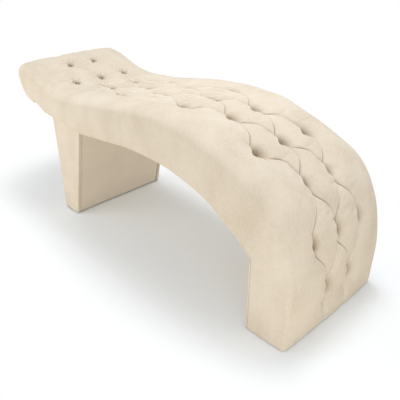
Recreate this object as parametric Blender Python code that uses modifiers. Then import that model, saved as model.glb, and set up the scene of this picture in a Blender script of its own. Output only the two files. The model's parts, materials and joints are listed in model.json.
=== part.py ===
"""Curved beauty bed with a deep-tufted velvet top, built from its separate pieces.

The body is an S-shaped shell. Seen from the side, an outer line runs up the head end, over the
top and down the foot, and a bottom line runs under the arch and down the inner face of the foot.
Ribs join the two lines, and every layer lies at its own depth along them.
Metres, +Z up, +X towards the foot, origin on the floor under the middle of the bed.
"""

import math

import bmesh
import bpy
import numpy as np
from mathutils import Matrix, Vector
from mathutils.bvhtree import BVHTree

# Overall sizes
LENGTH = 1.82
WIDTH = 0.60
HEIGHT = 0.74
FIT_GAP = 0.0003
FLOOR_CLEARANCE = 0.0053

# Layers, from the velvet inwards and from the cloth upwards
COVER_THICKNESS = 0.002
PAD_THICKNESS = 0.055
DECK_THICKNESS = 0.006
SIDE_FOAM_THICKNESS = 0.010
SIDE_BOARD_THICKNESS = 0.018
CLOTH_THICKNESS = 0.0015
UNDER_PANEL_THICKNESS = 0.005

# Cushion form
CROWN_HEIGHT = 0.006
EDGE_ROLL = 0.045
ROLL_TURNS = (0.0, math.pi / 4, math.pi / 2)
TUFT_COLUMN_PITCH = 0.143
TUFT_ROW_SHARES = (
    0.1184, 0.1903, 0.2692, 0.3477, 0.4278, 0.5193, 0.5977, 0.6831, 0.7586, 0.8447, 0.9340,
)  # fmt: skip
TUFT_DEPTH_SHARE = 0.74
CREASE_DEPTH_SHARE = 0.26
FUNNEL_LENGTH = 0.045
FUNNEL_WIDTH = 0.024
CREASE_WIDTH = 0.016
FUNNEL_EDGE_SHARE = 0.20
CROWN_EDGE_SHARE = 0.42
CREASE_LEAN_SHARE = 0.24

# Buttons and the holes for their ties
BUTTON_RADIUS = 0.009
BUTTON_HEIGHT = 0.009
TIE_HOLE_RADIUS = 0.004

# Frame
RAIL_WIDTH = 0.032
RAIL_DEPTH = 0.028
MOUNT_BOARD_THICKNESS = 0.018
BASE_BOARD_THICKNESS = 0.018

# Leg
LEG_INSET = 0.020
LEG_BOARD_THICKNESS = 0.018
LEG_PLATE_THICKNESS = 0.015
LEG_SEAT_GAP = 0.0006
BOLT_RADIUS = 0.004
BOLT_HEAD_RADIUS = 0.0075
BOLT_HEAD_HEIGHT = 0.0055
BOLT_CLEARANCE = 0.0005
BOLT_SPREAD_X = 0.09
BOLT_SPREAD_Y = 0.36

# Glides
GLIDE_RADIUS = 0.008
GLIDE_EDGE_DISTANCE = 0.030
CUT_OVERRUN = 0.004

# Outer line, from the lower head edge to the floor at the foot.
# Each point is a share of the length between the crowns, from the middle, and a share of the rise
# from the floor gap to the crown.
OUTER_LINE_SHARES = (
    (-0.4760, 0.800), (-0.4890, 0.862), (-0.4975, 0.922), (-0.5000, 0.957), (-0.4950, 0.986),
    (-0.4820, 1.000), (-0.4640, 0.999), (-0.4396, 0.989), (-0.3874, 0.953), (-0.3374, 0.917),
    (-0.2879, 0.899), (-0.2396, 0.901), (-0.1841, 0.912), (-0.1066, 0.937), (0.0000, 0.976),
    (0.0549, 0.991), (0.1099, 0.998), (0.1648, 0.993), (0.2198, 0.976), (0.2747, 0.941),
    (0.3297, 0.895), (0.3846, 0.836), (0.4240, 0.777), (0.4560, 0.693), (0.4780, 0.585),
    (0.4918, 0.473), (0.4984, 0.357), (0.5000, 0.240), (0.4990, 0.116), (0.4973, 0.000),
)  # fmt: skip
# Bottom line under the body, from the turning point of the head ribs to the inner corner of the foot
ARCH_LINE_SHARES = (
    (-0.4150, 0.7725), (-0.3896, 0.752), (-0.3600, 0.7203), (-0.3380, 0.7153), (-0.2090, 0.6860),
    (-0.1890, 0.6815), (-0.1600, 0.688), (-0.1269, 0.697), (-0.0643, 0.714), (0.0000, 0.732),
    (0.0549, 0.736), (0.1099, 0.733), (0.1648, 0.719), (0.2198, 0.688), (0.2747, 0.644),
    (0.3253, 0.569), (0.3626, 0.513), (0.3960, 0.441),
)  # fmt: skip
LEG_SEAT_POINTS = (3, 4)
FOOT_INNER_BOTTOM_SHARE = 0.3945
LEG_FOOT_SHARES = (-0.3330, -0.2742)

# Ribs: how many, how much closer together in the bends, and which of them meet the named places
RIB_STEPS = 30
BEND_SHARE = 0.10
HEAD_FAN_REACH = 0.030
HEAD_FAN_SHARE = 0.22
LEG_START_SHARE = 0.30
LEG_END_SHARE = 0.40
FOOT_CORNER_SHARE = 0.845
HEAD_PANEL_END_SHARE = 0.10
DECK_START_SHARE = 0.16
HEAD_RAIL_END_SHARE = 0.065
RAIL_SHARES = (0.535, 0.65, 0.80)

# Colours
VELVET_CREAM = (0.84, 0.76, 0.62)
FOAM_YELLOW = (0.86, 0.78, 0.55)
PLYWOOD = (0.72, 0.55, 0.36)
SOFTWOOD = (0.80, 0.66, 0.45)
HARDBOARD = (0.42, 0.28, 0.17)
STEEL = (0.62, 0.62, 0.64)
GLIDE_BLACK = (0.05, 0.05, 0.05)


# Scene


def clear_scene():
    """Removes the objects of the scene that is open."""
    for item in list(bpy.data.objects):
        bpy.data.objects.remove(item, do_unlink=True)


def new_collection(name):
    """A collection under the scene's own."""
    group = bpy.data.collections.new(name)
    bpy.context.scene.collection.children.link(group)
    return group


def new_material(name, colour, roughness, metallic=0.0):
    """A plain Principled material."""
    material = bpy.data.materials.new(name)
    material.use_nodes = True
    shader = material.node_tree.nodes["Principled BSDF"]
    shader.inputs["Base Color"].default_value = (*colour, 1.0)
    shader.inputs["Roughness"].default_value = roughness
    shader.inputs["Metallic"].default_value = metallic
    return material


# Lines in the side view


def smooth_line(points, steps=24):
    """A dense smooth line through the points: cubic pieces whose slopes come from the neighbours."""
    points = np.array(points, float)
    runs = np.linalg.norm(np.diff(points, axis=0), axis=1)[:, None]
    chords = np.diff(points, axis=0) / runs
    slopes = np.empty_like(points)
    slopes[1:-1] = (chords[1:] * runs[:-1] + chords[:-1] * runs[1:]) / (runs[:-1] + runs[1:])
    slopes[0] = 2 * chords[0] - slopes[1]
    slopes[-1] = 2 * chords[-1] - slopes[-2]
    t = np.linspace(0.0, 1.0, steps, endpoint=False)[:, None]
    pieces = []
    for i, run in enumerate(runs[:, 0]):
        start = points[i] * (1 + 2 * t) * (1 - t) ** 2 + slopes[i] * run * t * (1 - t) ** 2
        end = points[i + 1] * t**2 * (3 - 2 * t) + slopes[i + 1] * run * t**2 * (t - 1)
        pieces.append(start + end)
    return np.concatenate([*pieces, points[-1:]])


def arc_lengths(line):
    """The distance along the line to each of its points."""
    return np.concatenate([[0.0], np.cumsum(np.linalg.norm(np.diff(line, axis=0), axis=1))])


def along(line, distances):
    """Points of the line at these distances from its start."""
    lengths = arc_lengths(line)
    return np.stack([np.interp(distances, lengths, line[:, k]) for k in (0, 1)], axis=-1)


def unit(vectors):
    """The vectors at length one."""
    return vectors / np.linalg.norm(vectors, axis=-1, keepdims=True)


def square_to(vectors):
    """The vectors turned a quarter to the left."""
    return np.stack([-vectors[..., 1], vectors[..., 0]], axis=-1)


def side_view(shares):
    """Points in metres, (x, z), from shares of the run between the crowns and of the rise."""
    run = LENGTH - 2 * CROWN_HEIGHT
    rise = HEIGHT - CROWN_HEIGHT - FLOOR_CLEARANCE
    return np.array([(x * run, FLOOR_CLEARANCE + z * rise) for x, z in shares])


def crossing(first, second):
    """Where two lines meet. Each is a point and a direction."""
    (a, u), (b, v) = first, second
    reach = np.linalg.solve(np.stack([u, -v], axis=1), b - a)[0]
    return a + reach * u


def moved(line, distance):
    """The line moved to its left side by this distance."""
    return line[0] + distance * square_to(line[1]), line[1]


# Ribs


def rib_number(share):
    """The number of the rib at this share of their count."""
    return round(share * RIB_STEPS)


class Body:
    """The ribs of the S-shaped body, and places on them."""

    def __init__(self):
        self.outer = smooth_line(side_view(OUTER_LINE_SHARES))
        self.total = arc_lengths(self.outer)[-1]
        self.margin = CLOTH_THICKNESS + UNDER_PANEL_THICKNESS + 2 * FIT_GAP
        self.stations = self.rib_stations()
        beyond = self.outer[arc_lengths(self.outer) > self.stations[1]]
        self.outer = np.concatenate([along(self.outer, self.stations[:2]), beyond])
        self.last = len(self.stations) - 1
        self.bottoms = self.rib_bottoms()
        self.head_run = unit(self.bottoms[0] - self.outer[0])
        self.normals = self.bottom_normals()
        inner_bottoms = self.bottoms + self.margin * self.normals
        face = unit(self.outer[1] - self.outer[0])
        self.cover_inset = (COVER_THICKNESS + FIT_GAP) / -(square_to(face) @ self.head_run)
        self.inner_stations = self.stations.copy()
        self.inner_stations[0] = self.margin / (face @ square_to(self.head_run))
        self.inner_tops = along(self.outer, self.inner_stations)
        self.downs = unit(inner_bottoms - self.inner_tops)
        self.reach = np.linalg.norm(inner_bottoms - self.inner_tops, axis=1)

    def rib_stations(self):
        """Distances along the outer line, closer together where it bends."""
        lengths = arc_lengths(self.outer)
        runs = unit(np.diff(self.outer, axis=0))
        turns = np.abs(np.arcsin(np.sum(square_to(runs[:-1]) * runs[1:], axis=1)))
        bend = np.concatenate([[0.0], np.cumsum(turns), [np.sum(turns)]])
        measure = lengths / self.total + BEND_SHARE * bend
        return np.interp(np.linspace(0.0, measure[-1], RIB_STEPS + 1), measure, lengths)

    def rib_bottoms(self):
        """Where each rib meets the bottom line."""
        arch = side_view(ARCH_LINE_SHARES)
        line = smooth_line(arch)
        lengths = arc_lengths(line)
        seats = [float(np.interp(arch[k][0], line[:, 0], lengths)) for k in LEG_SEAT_POINTS]
        line = np.concatenate([line, side_view([(FOOT_INNER_BOTTOM_SHARE, 0.0)])])
        places = [0.0, HEAD_FAN_REACH, *seats, lengths[-1], arc_lengths(line)[-1]]
        shares = [0.0, HEAD_FAN_SHARE, LEG_START_SHARE, LEG_END_SHARE, FOOT_CORNER_SHARE, 1.0]
        ribs = [rib_number(share) for share in shares]
        self.leg_start, self.leg_end, self.corner_rib = ribs[2:5]
        return along(line, np.interp(np.arange(RIB_STEPS + 1), ribs, places))

    def bottom_normals(self):
        """Mitred directions square to the bottom line, into the body."""
        squares = square_to(unit(np.diff(self.bottoms, axis=0)))
        before = np.concatenate([[square_to(self.head_run)], squares])
        after = np.concatenate([squares, [(1.0, 0.0)]])
        mitres = unit(before + after)
        return mitres / np.sum(mitres * after, axis=1, keepdims=True)

    def place(self, rib, y, depth):
        """The point at this depth under the outer line, on one rib."""
        x, z = self.inner_tops[rib] + depth * self.downs[rib]
        return Vector((x, y, z))

    def down_at(self, distance):
        """The rib direction at any place of the outer line."""
        return unit(np.array([np.interp(distance, self.inner_stations, self.downs[:, k]) for k in (0, 1)]))

    def on_outside(self, distance, y, depth):
        """The point at this depth under any place of the outer line."""
        x, z = along(self.outer, distance) + depth * self.down_at(distance)
        return Vector((x, y, z))

    def under(self, rib, y, height):
        """The point this far above the bottom line, square to it."""
        x, z = self.bottoms[rib] + height * self.normals[rib]
        return Vector((x, y, z))


# Tufts


def has_tuft(row, column):
    """Rows of two and of three tufts take turns. Columns are numbered in half pitches from the middle."""
    return abs(column) <= 2 and (row + column) % 2 == 1


class Tufts:
    """The staggered tufts, and how they pull the surface down."""

    def __init__(self, body):
        self.rows = body.total * np.array(TUFT_ROW_SHARES)
        self.pitch = float(np.mean(np.diff(self.rows)))
        self.half = TUFT_COLUMN_PITCH / 2
        self.places = []
        for row, distance in enumerate(self.rows):
            columns = [column for column in range(-2, 3) if has_tuft(row, column)]
            for number, column in enumerate(columns, 1):
                self.places.append((f"{row + 1}_{number}", distance, column * self.half))

    def row_number(self, distance):
        """The place along the rows. It runs on at the mean pitch before the first row and past the last one."""
        within = min(max(distance, self.rows[0]), self.rows[-1])
        return float(np.interp(within, self.rows, np.arange(len(self.rows)))) + (distance - within) / self.pitch

    def depth(self, distance, y):
        """Funnels at the tufts, and the creases that run from tuft to tuft."""
        funnel = 0.0
        for _, tuft_distance, tuft_y in self.places:
            away = math.hypot((distance - tuft_distance) / FUNNEL_LENGTH, (y - tuft_y) / FUNNEL_WIDTH)
            funnel = max(funnel, math.exp(-away * away))
        row = self.row_number(distance)
        column = y / self.half
        off_crease = min(1 - abs((row - column + 1) % 2 - 1), 1 - abs((row + column + 1) % 2 - 1))
        off_crease *= self.pitch * self.half / math.hypot(self.pitch, self.half)
        inside = min(1.0, max(0.0, 3 - abs(column))) * min(1.0, max(0.0, 1 + row))
        crease = inside * math.exp(-((off_crease / CREASE_WIDTH) ** 2))
        return PAD_THICKNESS * (TUFT_DEPTH_SHARE * funnel + CREASE_DEPTH_SHARE * crease * (1 - funnel))

    def column_distances(self, body, column):
        """Places along the body for one line of the cushion's net."""
        near = FUNNEL_EDGE_SHARE * self.pitch
        wide = CROWN_EDGE_SHARE * self.pitch
        places = [s for s in body.stations if s < self.rows[0] - near - wide]
        for row, distance in enumerate(self.rows):
            if column == int(column):
                step = near if has_tuft(row, column) else wide
                places += [distance - step, distance, distance + step]
            elif abs(column) < 2 or has_tuft(row, 2):
                places += [distance - near, distance + near]
            else:
                places.append(distance)
        places = [s for s in places if s < body.total - near]
        return [*places, (places[-1] + body.total) / 2, body.total]

    def column_y(self, column, distance):
        """The side place of a net line. Lines between tufts lean to the nearest one, as the creases do."""
        row = int(np.argmin(np.abs(self.rows - distance)))
        beside_row = abs(self.rows[row] - distance) < self.pitch / 2
        inward = math.floor(column) if has_tuft(row, math.floor(column)) else math.ceil(column)
        if column == int(column) or abs(column) > 2 or not beside_row or not has_tuft(row, inward):
            return column * self.half
        return (inward + math.copysign(CREASE_LEAN_SHARE, column - inward)) * self.half


def crown_lift(y):
    """The cushion's crown across the width."""
    flat = WIDTH / 2 - EDGE_ROLL
    return CROWN_HEIGHT * max(0.0, 1 - (y / flat) ** 2)


def cushion_lines(body, tufts, start):
    """The net lines of the cushion's outside, from the left edge roll over the top to the right one."""
    flat = WIDTH / 2 - EDGE_ROLL
    roll = [(flat + EDGE_ROLL * math.sin(turn), EDGE_ROLL * (1 - math.cos(turn))) for turn in ROLL_TURNS]
    edge = [start, *body.stations[1:]]
    left = [[body.on_outside(s, -y, depth) for s in edge] for y, depth in reversed(roll)]
    right = [[body.on_outside(s, y, depth) for s in edge] for y, depth in roll]
    top = []
    for step in range(-5, 6):
        line = []
        for distance in tufts.column_distances(body, step / 2):
            y = tufts.column_y(step / 2, distance)
            depth = tufts.depth(distance, y) - crown_lift(y)
            line.append(body.on_outside(max(distance, start), y, depth))
        top.append(line)
    return left + top + right


# Mesh helpers


def bmesh_object(name, bm, group, material, smooth_angle=None):
    """Turns a bmesh into an object. The faces of a closed body are turned outwards."""
    if all(edge.is_manifold for edge in bm.edges):
        bmesh.ops.recalc_face_normals(bm, faces=bm.faces[:])
    mesh = bpy.data.meshes.new(name)
    bm.to_mesh(mesh)
    bm.free()
    mesh.materials.append(material)
    if smooth_angle is not None:
        mesh.shade_smooth()
        mesh.set_sharp_from_angle(angle=smooth_angle)
    item = bpy.data.objects.new(name, mesh)
    group.objects.link(item)
    return item


def flatness(a, b, c, d):
    """How well the two halves of a quad agree when it is split from its first corner to its third."""
    return (b.co - a.co).cross(c.co - a.co).dot((c.co - a.co).cross(d.co - a.co))


def fill_strip(bm, first, second):
    """Fills the strip between two lines of vertices with like counts, never folding a quad."""
    for a, b, c, d in zip(first, first[1:], second[1:], second):
        corners = (a, b, c, d) if flatness(a, b, c, d) > flatness(b, c, d, a) else (b, c, d, a)
        bm.faces.new(corners[:3])
        bm.faces.new((corners[0], *corners[2:]))


def zip_lines(bm, first, second):
    """Fills the strip between two lines of vertices with any counts, over the shorter diagonal."""
    if len(first) == len(second):
        fill_strip(bm, first, second)
        return
    i = 0
    j = 0
    while i < len(first) - 1 or j < len(second) - 1:
        if i == len(first) - 1:
            step_first = False
        elif j == len(second) - 1:
            step_first = True
        else:
            step_first = (first[i + 1].co - second[j].co).length < (second[j + 1].co - first[i].co).length
        if step_first:
            bm.faces.new((first[i], first[i + 1], second[j]))
            i += 1
        else:
            bm.faces.new((first[i], second[j + 1], second[j]))
            j += 1


def loft(name, rings, group, material):
    """A closed body through rings of points, with flat ends."""
    bm = bmesh.new()
    loops = [[bm.verts.new(point) for point in ring] for ring in rings]
    for first, second in zip(loops, loops[1:]):
        for k in range(len(first)):
            bm.faces.new((first[k - 1], first[k], second[k], second[k - 1]))
    bm.faces.new(loops[0])
    bm.faces.new(loops[-1])
    return bmesh_object(name, bm, group, material)


def strip_rings(points, y_from, y_to):
    """Rings for a loft from pairs of outer and inner points in the side view."""
    rings = []
    for outer, inner in points:
        corners = [(outer, y_from), (outer, y_to), (inner, y_to), (inner, y_from)]
        rings.append([Vector((point.x, y, point.z)) for point, y in corners])
    return rings


def board(name, outline, y_from, y_to, group, material):
    """A flat board in the side view, cut from sheet: a filled outline with a thickness."""
    curve = bpy.data.curves.new(name, "CURVE")
    curve.dimensions = "2D"
    curve.fill_mode = "BOTH"
    curve.extrude = (y_to - y_from) / 2
    spline = curve.splines.new("POLY")
    spline.points.add(len(outline) - 1)
    for point, (x, z) in zip(spline.points, outline):
        point.co = (x, z, 0.0, 1.0)
    spline.use_cyclic_u = True
    item = bpy.data.objects.new(name, curve)
    group.objects.link(item)
    stand = Matrix.Translation((0.0, (y_from + y_to) / 2, 0.0)) @ Matrix.Rotation(math.pi / 2, 4, "X")
    graph = bpy.context.evaluated_depsgraph_get()
    mesh = bpy.data.meshes.new_from_object(item.evaluated_get(graph))
    bpy.data.objects.remove(item, do_unlink=True)
    bpy.data.curves.remove(curve)
    bm = bmesh.new()
    bm.from_mesh(mesh)
    bpy.data.meshes.remove(mesh)
    bmesh.ops.transform(bm, matrix=stand, verts=bm.verts[:])
    bmesh.ops.remove_doubles(bm, verts=bm.verts[:], dist=FIT_GAP / 10)
    return bmesh_object(name, bm, group, material)


def box(name, size, middle, angle, group, material):
    """A box turned about the width axis by this angle."""
    bm = bmesh.new()
    bmesh.ops.create_cube(bm, size=1.0)
    turn = Matrix.Translation(middle) @ Matrix.Rotation(angle, 4, "Y")
    bmesh.ops.transform(bm, matrix=turn @ Matrix.Diagonal((*size, 1.0)), verts=bm.verts[:])
    return bmesh_object(name, bm, group, material)


def add_cylinder(bm, radius, start, end, sides):
    """Adds a cylinder between two points."""
    run = end - start
    turn = run.to_track_quat("Z", "Y").to_matrix().to_4x4()
    stand = Matrix.Translation((start + end) / 2) @ turn
    bmesh.ops.create_cone(
        bm, cap_ends=True, segments=sides, radius1=radius, radius2=radius, depth=run.length, matrix=stand
    )


def turned(name, profile, stand, sides, group, material):
    """A turned solid from a profile of (radius, height) points that runs from its top to its bottom."""
    mesh = bpy.data.meshes.new(name)
    points = [(radius, 0.0, height) for radius, height in profile]
    mesh.from_pydata(points, [(k, k + 1) for k in range(len(points) - 1)], [])
    mesh.materials.append(material)
    item = bpy.data.objects.new(name, mesh)
    item.matrix_world = stand
    group.objects.link(item)
    screw = item.modifiers.new("Turn", "SCREW")
    screw.steps = sides
    screw.render_steps = sides
    screw.use_merge_vertices = True
    screw.merge_threshold = BOLT_CLEARANCE / 10
    return item


def drill(items, name, holes, radius, sides, cutters, material):
    """Drills the same holes through all of these items."""
    bm = bmesh.new()
    for start, end in holes:
        add_cylinder(bm, radius, start, end, sides)
    cutter = bmesh_object(name, bm, cutters, material)
    cutter.hide_render = True
    cutter.display_type = "WIRE"
    for item in items:
        cut = item.modifiers.new(name, "BOOLEAN")
        cut.operation = "DIFFERENCE"
        cut.solver = "EXACT"
        cut.object = cutter


# Soft pieces


def make_cover(body, tufts, group, material):
    """The velvet: the cushion's outside down to the lower edges, one sheet with a thickness."""
    edges = [[(x, side * WIDTH / 2, z) for x, z in body.bottoms] for side in (-1, 1)]
    lines = [edges[0], *cushion_lines(body, tufts, 0.0), edges[1]]
    bm = bmesh.new()
    lines = [[bm.verts.new(point) for point in line] for line in lines]
    for first, second in zip(lines, lines[1:]):
        zip_lines(bm, first, second)
    cover = bmesh_object("velvet_cover", bm, group, material, math.radians(50))
    wall = cover.modifiers.new("Sheet", "SOLIDIFY")
    wall.thickness = COVER_THICKNESS
    wall.offset = -1.0
    return cover


def make_pad(body, tufts, group, material):
    """The foam: the cover's shape one sheet lower, closed by its underside on the deck."""
    ribs = range(body.last + 1)
    edges = [[body.place(rib, side * WIDTH / 2, PAD_THICKNESS) for rib in ribs] for side in (-1, 1)]
    lines = [edges[0], *cushion_lines(body, tufts, body.inner_stations[0]), edges[1]]
    bm = bmesh.new()
    lines = [[bm.verts.new(point) for point in line] for line in lines]
    for first, second in zip(lines, lines[1:]):
        zip_lines(bm, first, second)
    bm.normal_update()
    for vertex in bm.verts:
        vertex.co -= (COVER_THICKNESS + FIT_GAP) * vertex.normal
    zip_lines(bm, lines[-1], lines[0])
    for end in (0, -1):
        face = bm.faces.new([line[end] for line in lines])
        bmesh.ops.triangulate(bm, faces=[face])
    return bmesh_object("foam_pad", bm, group, material, math.radians(50))


def make_side_foams(body, group, material):
    """Thin foam on the outer face of each side board."""
    outer = WIDTH / 2 - COVER_THICKNESS - FIT_GAP
    inner = outer - SIDE_FOAM_THICKNESS
    points = [
        (body.place(rib, 0.0, PAD_THICKNESS + FIT_GAP), body.place(rib, 0.0, body.reach[rib]))
        for rib in range(body.last + 1)
    ]
    loft("side_foam_left", strip_rings(points, -outer, -inner), group, material)
    loft("side_foam_right", strip_rings(points, inner, outer), group, material)


def make_underside_cover(body, group, material):
    """The cloth under the head overhang, the arch and down the inner face of the foot."""
    half = WIDTH / 2 - COVER_THICKNESS - FIT_GAP
    ribs = range(body.last + 1)
    points = [(body.under(rib, 0.0, 0.0), body.under(rib, 0.0, CLOTH_THICKNESS)) for rib in ribs]
    rings = head_rings(body, 0.0, CLOTH_THICKNESS) + strip_rings(points, -half, half)
    return loft("underside_cover", rings, group, material)


def make_buttons(body, tufts, cover, group, material):
    """A domed button in each tuft, let down until it rests on the cover."""
    bpy.context.view_layer.update()
    surface = BVHTree.FromObject(cover, bpy.context.evaluated_depsgraph_get())
    for number, distance, y in tufts.places:
        x, z = body.down_at(distance)
        down = Vector((x, 0.0, z))
        start = Matrix.Translation(body.on_outside(distance, y, 0.0) - (CROWN_HEIGHT + BUTTON_HEIGHT) * down)
        turn = (-down).to_track_quat("Z", "Y").to_matrix().to_4x4()
        scale = Matrix.Diagonal((BUTTON_RADIUS, BUTTON_RADIUS, BUTTON_HEIGHT / 2, 1.0))
        bm = bmesh.new()
        bmesh.ops.create_uvsphere(bm, u_segments=10, v_segments=6, radius=1.0, matrix=start @ turn @ scale)
        falls = [surface.ray_cast(vertex.co, down)[3] for vertex in bm.verts]
        fall = min(falls) - 2 * FIT_GAP
        bmesh.ops.translate(bm, vec=fall * down, verts=bm.verts[:])
        bmesh_object(f"button_{number}", bm, group, material, math.radians(60))


# Frame


def board_half():
    """Half the width over the side boards, and half the width between them."""
    outer = WIDTH / 2 - COVER_THICKNESS - SIDE_FOAM_THICKNESS - 2 * FIT_GAP
    return outer, outer - SIDE_BOARD_THICKNESS


def deck_depth():
    """The depth of the deck's top and of what lies under it."""
    top = PAD_THICKNESS + FIT_GAP
    return top, top + DECK_THICKNESS + FIT_GAP


def head_rings(body, low, high):
    """Rings of a layer under the head edge, just inside the cover, round its rolled corners."""
    up = square_to(body.head_run)
    rings = []
    for turn in ROLL_TURNS:
        depth = EDGE_ROLL - (EDGE_ROLL - body.cover_inset) * math.cos(turn)
        half = WIDTH / 2 - EDGE_ROLL + (EDGE_ROLL - COVER_THICKNESS - FIT_GAP) * math.sin(turn)
        start = body.outer[0] + depth * body.head_run
        points = [Vector((x, 0.0, z)) for x, z in (start + low * up, start + high * up)]
        rings += strip_rings([points], -half, half)
    return rings


def make_side_boards(body, group, material):
    """The sheet-wood sides, cut to the S shape."""
    outer, inner = board_half()
    below_deck = deck_depth()[1]
    ribs = range(body.last + 1)
    outline = [body.place(rib, 0.0, below_deck) for rib in ribs]
    outline += [body.place(rib, 0.0, body.reach[rib]) for rib in reversed(ribs)]
    outline = [(point.x, point.z) for point in outline]
    board("side_board_left", outline, -outer, -inner, group, material)
    board("side_board_right", outline, inner, outer, group, material)


def make_deck(body, tufts, group, cutters, material):
    """The bent sheet under the foam, with a hole for each button's tie, and the flat panel of the head end."""
    outer = board_half()[0]
    top = deck_depth()[0]
    layers = {
        "head_panel": range(rib_number(HEAD_PANEL_END_SHARE) + 1),
        "deck": range(rib_number(DECK_START_SHARE), body.last + 1),
    }
    for name, ribs in layers.items():
        points = [(body.place(rib, 0.0, top), body.place(rib, 0.0, top + DECK_THICKNESS)) for rib in ribs]
        deck = loft(name, strip_rings(points, -outer, outer), group, material)
    holes = [
        (
            body.on_outside(distance, y, top - CUT_OVERRUN),
            body.on_outside(distance, y, top + DECK_THICKNESS + CUT_OVERRUN),
        )
        for _, distance, y in tufts.places
    ]
    drill([deck], "tie_hole_cutter", holes, TIE_HOLE_RADIUS, 6, cutters, material)


def make_rails(body, group, material):
    """Battens between the side boards, under the deck."""
    half = board_half()[1] - FIT_GAP
    depth = deck_depth()[1]
    points = [
        (body.place(rib, 0.0, depth), body.place(rib, 0.0, depth + RAIL_DEPTH))
        for rib in range(rib_number(HEAD_RAIL_END_SHARE) + 1)
    ]
    loft("head_rail", strip_rings(points, -half, half), group, material)
    for number, share in enumerate(RAIL_SHARES, 1):
        rib = rib_number(share)
        start = body.place(rib, 0.0, depth)
        end = body.place(rib + 1, 0.0, depth)
        run = (end - start).normalized()
        down = Vector((run.z, 0.0, -run.x))
        middle = (start + end) / 2 + down * RAIL_DEPTH / 2
        angle = math.atan2(-run.z, run.x)
        box(f"cross_rail_{number}", (RAIL_WIDTH, 2 * half, RAIL_DEPTH), middle, angle, group, material)


def make_under_panels(body, group, material):
    """The thin boards under the arch and on the inner face of the foot."""
    half = WIDTH / 2 - COVER_THICKNESS - FIT_GAP
    low = CLOTH_THICKNESS + FIT_GAP
    high = low + UNDER_PANEL_THICKNESS
    corner = body.corner_rib
    points = [(body.under(rib, 0.0, low), body.under(rib, 0.0, high)) for rib in range(corner + 1)]
    rings = head_rings(body, low, high) + strip_rings(points, -half, half)
    underside = loft("underside_panel", rings, group, material)
    foot_run = unit(body.bottoms[-1] - body.bottoms[corner])
    gap = Vector((foot_run[0], 0.0, foot_run[1])) * 2 * FIT_GAP
    points = [(body.under(rib, 0.0, low), body.under(rib, 0.0, high)) for rib in range(corner, body.last + 1)]
    points[0] = [point + gap for point in points[0]]
    loft("foot_inner_panel", strip_rings(points, -half, half), group, material)
    return underside


def make_base_board(body, group, material):
    """The board across the bottom of the foot, between the deck and the inner panel."""
    half = board_half()[1] - FIT_GAP
    below_deck = deck_depth()[1]
    low = body.place(body.last, 0.0, below_deck)
    high = body.place(body.last - 1, 0.0, below_deck)
    share = BASE_BOARD_THICKNESS / (high.z - low.z)
    x_to = min(low.x, low.x + share * (high.x - low.x)) - FIT_GAP
    low = body.under(body.last, 0.0, body.margin)
    high = body.under(body.corner_rib, 0.0, body.margin)
    share = BASE_BOARD_THICKNESS / (high.z - low.z)
    x_from = max(low.x, low.x + share * (high.x - low.x)) + FIT_GAP
    size = (x_to - x_from, 2 * half, BASE_BOARD_THICKNESS)
    middle = Vector(((x_from + x_to) / 2, 0.0, FLOOR_CLEARANCE + BASE_BOARD_THICKNESS / 2))
    box("base_board", size, middle, 0.0, group, material)


# Leg


class Leg:
    """The outline of the leg in the side view, and the frame of its seat under the bed."""

    def __init__(self, body):
        start = body.bottoms[body.leg_start]
        end = body.bottoms[body.leg_end]
        self.run = unit(end - start)
        self.up = square_to(self.run)
        self.length = float(np.linalg.norm(end - start))
        self.middle = (start + end) / 2
        feet = side_view([(share, 0.0) for share in LEG_FOOT_SHARES])
        top_start = start - LEG_SEAT_GAP * self.up
        top_end = end - LEG_SEAT_GAP * self.up
        self.top = (top_start, self.run)
        self.floor = (feet[0], np.array([1.0, 0.0]))
        self.head = (feet[0], unit(feet[0] - top_start))
        self.foot = (feet[1], unit(top_end - feet[1]))
        self.half = WIDTH / 2 - LEG_INSET

    def outline(self, top, foot, floor, head):
        """The four corners where these lines cross, in order round the leg."""
        return [crossing(top, head), crossing(top, foot), crossing(floor, foot), crossing(floor, head)]

    def seat_point(self, along_seat, y, height):
        """A point over the seat: along it from its middle, and square to it."""
        x, z = self.middle + along_seat * self.run + height * self.up
        return Vector((x, y, z))


def make_leg(leg, group, plywood, velvet):
    """The box of the leg and its velvet sleeve."""
    skin = COVER_THICKNESS + FIT_GAP
    inner = skin + LEG_BOARD_THICKNESS
    side = leg.half - skin
    between = side - LEG_BOARD_THICKNESS - FIT_GAP
    head, foot = moved(leg.head, skin), moved(leg.foot, skin)
    head_in, foot_in = moved(leg.head, inner), moved(leg.foot, inner)
    outline = leg.outline(leg.top, foot, leg.floor, head)
    board("leg_side_left", outline, -side, LEG_BOARD_THICKNESS - side, group, plywood)
    board("leg_side_right", outline, side - LEG_BOARD_THICKNESS, side, group, plywood)
    outline = leg.outline(leg.top, head_in, leg.floor, head)
    board("leg_head_panel", outline, -between, between, group, plywood)
    outline = leg.outline(leg.top, foot, leg.floor, foot_in)
    board("leg_foot_panel", outline, -between, between, group, plywood)
    plate_low = moved(leg.top, -LEG_PLATE_THICKNESS)
    outline = leg.outline(leg.top, moved(leg.foot, inner + FIT_GAP), plate_low, moved(leg.head, inner + FIT_GAP))
    plate = board("leg_top_plate", outline, -between, between, group, plywood)
    corners = leg.outline(leg.top, leg.foot, leg.floor, leg.head)
    bm = bmesh.new()
    rings = []
    for first, second in ((corners[0], corners[1]), (corners[3], corners[2])):
        places = [(first, -1), (second, -1), (second, 1), (first, 1)]
        rings.append([bm.verts.new((x, sign * leg.half, z)) for (x, z), sign in places])
    for k in range(4):
        bm.faces.new((rings[0][k], rings[0][k - 1], rings[1][k - 1], rings[1][k]))
    sleeve = bmesh_object("leg_cover", bm, group, velvet)
    wall = sleeve.modifiers.new("Sheet", "SOLIDIFY")
    wall.thickness = COVER_THICKNESS
    wall.offset = -1.0
    wall.use_even_offset = True
    return plate


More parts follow.
